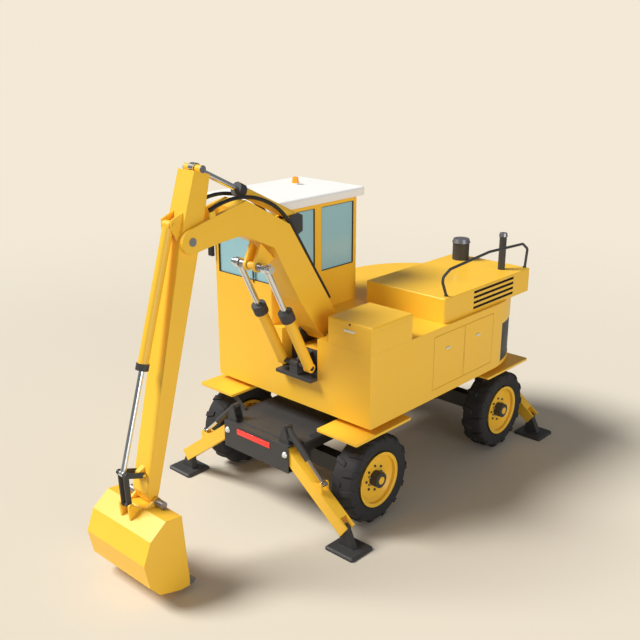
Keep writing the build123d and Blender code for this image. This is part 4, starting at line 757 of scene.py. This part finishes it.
@dataclass
class Cab:
    """Window seals, wiper, mirror and seat cushions of the cab. Sizes are in millimetres."""

    front_x: float = 1500.0
    side_y: float = -256.0
    sill: float = 2582.0
    head: float = 3375.0
    seal_in: float = 12.0
    seal_wide: float = 7.0
    seal_deep: float = 8.0
    cushion_grid: tuple[int, int] = (60, 120)
    # the open windows of the front and the left side: (from, to) along the wall
    front_window: tuple = (-1180.0, -304.0)
    side_windows: tuple = ((66.0, 655.0), (770.0, 1440.0))
    # (x, y, z) along the wiper's arm and blade, with x from the front wall, their radii and sides
    wiper_arm: tuple = ((8, -560, 2560), (12, -565, 2700), (6, -570, 2860))
    wiper_blade: tuple = ((-2, -572, 2610), (-2, -572, 2820), (-2, -572, 3030))
    wiper_radii: tuple[float, float] = (6.0, 9.0)
    wiper_sides: int = 10
    # the mirror's lowest and highest corners, and the radius of its edges
    mirror_corners: tuple = ((1502, -1330, 2760), (1545, -1245, 2990))
    mirror_edge: float = 12.0
    # (name, middle, half sizes, lean back in degrees) of each seat cushion
    cushions: tuple = (
        ("seat_cushion", (512.0, -753.0, 2548.0), (262.0, 256.0, 66.0), 0.0),
        ("back_cushion", (318.0, -753.0, 2830.0), (80.0, 256.0, 268.0), 9.8),
        ("head_cushion", (278.0, -753.0, 3190.0), (64.0, 252.0, 118.0), 0.0),
    )
    cushion_fill: float = 0.7

    def build(self) -> None:
        """Makes the fittings and the cushions of the cab."""
        seal = material("seal_rubber", HOSE_RUBBER)
        dress(self.seals(), seal, "house")
        dress(self.wiper(), seal, "house")
        vinyl = material("moulded_vinyl", SEAT_VINYL)
        dress(self.mirror(), vinyl, "house")
        for name, middle, half, lean in self.cushions:
            piece = self.cushion(name, middle, half, lean)
            dress(piece, vinyl, "house")

    def cushion(self, name: str, middle: tuple, half: tuple, lean: float) -> bpy.types.Object:
        """A cushion: a superellipsoid, whose powers of cosine and sine under 1 square and crown it.

        Its sides pull in between the corners, and a seam runs round the middle of its thinnest way. It
        is made lying down, then stood up if its height isn't its thinnest way, and leaned back.

        Args:
            name: The piece's name.
            middle: Its middle, in millimetres from the slew axis.
            half: Half its length, width and height, in millimetres.
            lean: How far it leans back, in degrees.

        Returns:
            The object.
        """
        around = np.linspace(0, 2 * np.pi, self.cushion_grid[1], endpoint=False)
        rise = np.linspace(-np.pi / 2, np.pi / 2, self.cushion_grid[0])[1:-1, None]
        long = np.sign(np.cos(around)) * np.abs(np.cos(around)) ** PLAN_POWER
        wide = np.sign(np.sin(around)) * np.abs(np.sin(around)) ** PLAN_POWER
        pull = 1 - SIDE_PULL * (1 - np.abs(np.sin(2 * around)))
        seam = 1 - SEAM_DEEP * np.exp(-((rise / SEAM_WIDE) ** 2))
        girth = np.cos(rise) ** SIDE_POWER * seam * pull
        thick = np.sign(np.sin(rise)) * np.abs(np.sin(rise)) ** CROWN_POWER * np.ones_like(around)
        flat = np.stack([girth * long, girth * wide, thick], axis=-1)
        if half[0] < half[2]:
            flat = np.stack([thick, flat[..., 1], -flat[..., 0]], axis=-1)
        grid = flat * np.array(half) / 1000
        turn = math.radians(-lean)
        leaned = np.stack(
            [
                grid[..., 0] * math.cos(turn) + grid[..., 2] * math.sin(turn),
                grid[..., 1],
                grid[..., 2] * math.cos(turn) - grid[..., 0] * math.sin(turn),
            ],
            axis=-1,
        )
        shape = leaned.shape[:2]
        points, faces = copies((at(*middle) + leaned)[None], quads(*shape, True), shape)
        return put(name, points, faces)

    def seals(self) -> bpy.types.Object:
        """Rubber seals: a flat section carried round each window, counterclockwise about its normal."""
        front, side = self.front_x - self.seal_in, self.side_y - self.seal_in
        loops = [
            ([at(front, y, z) for y, z in self.corners(*self.front_window)], (1.0, 0.0, 0.0)),
            *[
                ([at(x, side, z) for x, z in self.corners(*window)], (0.0, -1.0, 0.0))
                for window in self.side_windows
            ],
        ]
        points, faces, start = [], [], 0
        for loop, normal in loops:
            outer = np.array(loop)
            middle = outer.mean(axis=0)
            # the inner loop stands one seal's width in from the outer one, both ways
            across_mm = np.abs(2000 * (outer - middle)).clip(1)
            inner = middle + (outer - middle) * (1 - 2 * self.seal_wide / across_mm)
            depth = np.array(normal) * self.seal_deep / 1000
            rings = np.stack([outer - depth, outer + depth, inner + depth, inner - depth])
            here = np.arange(len(outer))
            after = (here + 1) % len(outer)
            for a, b in ((0, 1), (1, 2), (2, 3), (3, 0)):
                low, high = a * len(outer), b * len(outer)
                face = np.stack([low + here, low + after, high + after, high + here], axis=-1)
                faces += (face + start).tolist()
            points.append(rings.reshape(-1, 3))
            start += 4 * len(outer)
        return put("window_seals", np.concatenate(points), faces, smooth=False)

    def corners(self, lo: float, hi: float) -> list[tuple[float, float]]:
        """The four corners of a window between lo and hi along its wall, in order round it."""
        return [(lo, self.sill), (hi, self.sill), (hi, self.head), (lo, self.head)]

    def wiper(self) -> bpy.types.Object:
        """A wiper at rest on the front window: its arm and its blade, each a bar along a path."""
        ahead = np.array([1.0, 0.0, 0.0])
        points, faces, start = [], [], 0
        for path, radius in zip((self.wiper_arm, self.wiper_blade), self.wiper_radii):
            spots = np.array([at(self.front_x + x, y, z) for x, y, z in path])
            bar, bar_faces = bar_along(spots, ahead, round_section(radius / 1000, self.wiper_sides))
            points.append(bar)
            faces += [[i + start for i in face] for face in bar_faces]
            start += len(bar)
        return put("wiper", np.concatenate(points), faces)

    def mirror(self) -> bpy.types.Object:
        """The mirror at the cab's far front corner, a rounded block on the pillar."""
        lo, hi = self.mirror_corners
        return pillow("cab_mirror", at(*lo), at(*hi), self.mirror_edge / 1000)


@dataclass
class Chassis:
    """Reflector of the front stabiliser box, and the slewing ring's bolts. Sizes are in millimetres."""

    box_front: float = 2061.0
    # (from, to) across, then (from, to) up, and how far it is sunk in the box and stands proud of it
    reflector: tuple = (-305.0, 243.0, 869.0, 939.0)
    reflector_sunk: float = 3.0
    reflector_proud: float = 9.0
    reflector_edge: float = 4.0
    ring_bolts: int = 28
    ring_r: float = 545.0
    ring_z: float = 985.0
    # (along, radius) of a bolt's hexagon head
    bolt: tuple = ((0, 16), (12, 16), (15, 12))
    bolt_sides: int = 6

    def build(self) -> None:
        """Makes the reflector and the bolts of the slewing ring."""
        y0, y1, z0, z1 = self.reflector
        lo = at(self.box_front - self.reflector_sunk, y0, z0)
        hi = at(self.box_front + self.reflector_proud, y1, z1)
        bar = pillow("front_reflector", lo, hi, self.reflector_edge / 1000)
        # the reflector's lens has a painted glow
        dress(bar, material("reflector_lens", REFLECTOR_LENS), "chassis")
        angle = np.arange(self.ring_bolts) * 2 * np.pi / self.ring_bolts
        ring = np.stack([np.cos(angle), np.sin(angle), np.zeros(self.ring_bolts)], axis=-1)
        places = at(0, 0, self.ring_z) + ring * self.ring_r / 1000
        up = np.array([0.0, 0.0, 1.0])
        points, faces = turned(places, up, np.array(self.bolt) / 1000, self.bolt_sides)
        bolts = put("ring_bolts", points, faces, smooth=False)
        dress(bolts, material("dark_bolts", CHASSIS_PAINT), "chassis")


def direction(start: tuple[float, float], end: tuple[float, float]) -> tuple[float, float, float]:
    """The unit direction from start to end in the boom's plane, both as (x, z)."""
    reach = math.hypot(end[0] - start[0], end[1] - start[1])
    return ((end[0] - start[0]) / reach, 0.0, (end[1] - start[1]) / reach)


@dataclass
class Bodywork:
    """Finishes of the CAD nodes, and of the fittings that differ. Sizes are in millimetres."""

    boom_y: float = 180.0
    past: float = 600.0  # how far a pin's zones reach past its clear width
    gland_end: float = 2500.0
    gland_reach: float = 110.0
    # the finish of each CAD node that nothing replaces
    coats: dict = field(
        default_factory=lambda: {
            ENAMEL: (
                "fenders", "house_body", "cab_shell", "cab_door", "arm", "boom", "bucket", "hood",
                "toolbox", "toolbox_lid", "side_door_rear", "side_door_front", "boom_barrels",
                "arm_barrel", "bucket_barrel", *[f"leg_{corner.word}" for corner in Corner],
            ),
            CHASSIS_PAINT: (
                "chassis_frame", "stabiliser_boxes", "axles", "knuckle_left", "knuckle_right",
                "counterweight", "boom_pedestal", "exhaust_and_air_cleaner", "handrail", "rocker", "link",
                *[f"pad_{corner.word}" for corner in Corner],
                *[f"leg_barrel_{corner.word}" for corner in Corner],
            ),
            HARD_CHROME: (
                "boom_rods", "arm_rod", "bucket_rod", *[f"leg_rod_{corner.word}" for corner in Corner],
            ),
            ROOF_ENAMEL: ("cab_roof",),
            CAST_IRON: ("engine_block",),
            CAB_GLASS: ("cab_glass", "cab_door_glass"),
            SEAT_VINYL: ("cab_seat",),
            HOSE_RUBBER: ("hoses",),
        }
    )
    # cross pins: (node, x and z of the pin, reach, half the clear width between its ends)
    pins: tuple = (
        ("arm", (3117.0, 3470.0), 46.0, 171.0), ("arm", (2921.0, 4137.0), 40.0, 122.5),
        ("boom", (2200.0, 3035.0), 42.0, 40.0), ("bucket", (3712.0, 925.0), 41.5, 158.5),
    )
    # glands: (node, x and z of the ram's base, of its head, sideways from the boom, start along it)
    glands: tuple = (
        ("boom_barrels", (1560.0, 1752.0), (2200.0, 3035.0), 210.0, 722.0),
        ("boom_barrels", (1560.0, 1752.0), (2200.0, 3035.0), -210.0, 722.0),
        ("arm_barrel", (1580.0, 3462.0), (2921.0, 4137.0), 0.0, 825.0),
        ("bucket_barrel", (3262.0, 3640.0), (3978.0, 1285.0), 0.0, 1350.0),
    )
    # fittings: (node, finish, a point on the axis, its direction, reach, from and to along it)
    fittings: tuple = (
        ("stabiliser_boxes", BRIGHT_STEEL, (2061, 480, 869), (1, 0, 0), 38.5, 0.5, 50),
        ("stabiliser_boxes", BRIGHT_STEEL, (2061, -480, 869), (1, 0, 0), 38.5, 0.5, 50),
        ("exhaust_and_air_cleaner", TURNED_STEEL, (-1590, 262, 2640), (0, 0, 1), 130, 0, 60),
        ("exhaust_and_air_cleaner", TURNED_STEEL, (-1500, 962, 2845), (0, 0, 1), 62, 0, 50),
        ("toolbox", BRIGHT_STEEL, (1504, 935, 2300), (0, 1, 0), 14.5, -75.5, 75.5),
        ("toolbox_lid", CHASSIS_PAINT, (1500, 939, 2375), (1, 0, 0), 13.5, 0.5, 10),
        ("side_door_rear", BRIGHT_STEEL, (-562, 1256, 1808), (1, 0, 0), 13.6, -42.5, 42.5),
        ("side_door_front", BRIGHT_STEEL, (78, 1256, 1808), (1, 0, 0), 13.6, -42.5, 42.5),
        ("bucket", TURNED_STEEL, (3558, 180, 76), (0, 1, 0), 52, -600, 600),
        ("boom", CHASSIS_PAINT, (1600, 180, 3400), (0, 1, 0), 160, -90, 90),
        # the beacon's lens has a painted glow
        ("cab_roof", BEACON_LENS, (430, -910, 3545), (0, 0, 1), 52, 18.5, 200),
        ("hood", CHASSIS_PAINT, (-957, 1181, 2155), (1, 0, 0), 22.5, -460, 460),
        ("hood", CHASSIS_PAINT, (-957, 1181, 2221), (1, 0, 0), 22.5, -460, 460),
        ("hood", CHASSIS_PAINT, (-957, 1181, 2287), (1, 0, 0), 22.5, -460, 460),
        ("hood", CHASSIS_PAINT, (-957, 1181, 2353), (1, 0, 0), 22.5, -460, 460),
    )

    def build(self) -> None:
        """Dresses every CAD node that no piece replaces."""
        zoned = self.zoned()
        for finish, names in self.coats.items():
            shared = material(f"{finish.tone.name.lower()}_{type(finish).__name__.lower()}", finish)
            for name in names:
                own = zoned.get(name)
                made = material(f"{name}_finish", finish, tuple(own)) if own else shared
                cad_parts[name].material_slots[0].material = made
                log.info("%s is coated in %s", name, made.name)

    def zone(self, spot: tuple, axis: tuple, reach: float, lo: float, hi: float) -> Zone:
        """A zone given in millimetres from the slew axis."""
        centre, axis = tuple(at(*spot).tolist()), tuple(map(float, axis))
        return Zone(centre, axis, reach / 1000, lo / 1000, hi / 1000)

    def zoned(self) -> dict[str, list[tuple[Zone, Finish]]]:
        """The zones and finishes of each node that wears more than one finish."""
        rows = [(name, finish, self.zone(*bar)) for name, finish, *bar in self.fittings]
        for name, (x, z), reach, half in self.pins:
            for side in (1, -1):
                bar = self.zone((x, self.boom_y, z), (0, side, 0), reach, half, self.past)
                rows.append((name, TURNED_STEEL, bar))
        for name, base, head, side, start in self.glands:
            spot = (base[0], self.boom_y + side, base[1])
            bar = self.zone(spot, direction(base, head), self.gland_reach, start, self.gland_end)
            rows.append((name, CHASSIS_PAINT, bar))
        zones = {}
        for name, finish, bar in rows:
            zones.setdefault(name, []).append((bar, finish))
        return zones


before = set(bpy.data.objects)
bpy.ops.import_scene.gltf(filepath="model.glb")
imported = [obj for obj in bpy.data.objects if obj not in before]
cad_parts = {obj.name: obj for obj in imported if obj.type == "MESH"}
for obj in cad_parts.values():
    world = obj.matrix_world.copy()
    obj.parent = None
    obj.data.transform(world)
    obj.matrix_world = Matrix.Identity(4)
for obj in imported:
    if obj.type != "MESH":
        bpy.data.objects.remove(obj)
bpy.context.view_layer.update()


def main() -> None:
    """Builds the scene in order: camera and light, finishes, then the pieces that dress the machine."""
    logging.basicConfig(level=logging.INFO, format="%(name)s: %(message)s")
    for part in (Studio(), Bodywork(), Wheels(), Cab(), Chassis()):
        part.build()
        log.info("%s is built", type(part).__name__)


if __name__ == "__main__":
    main()
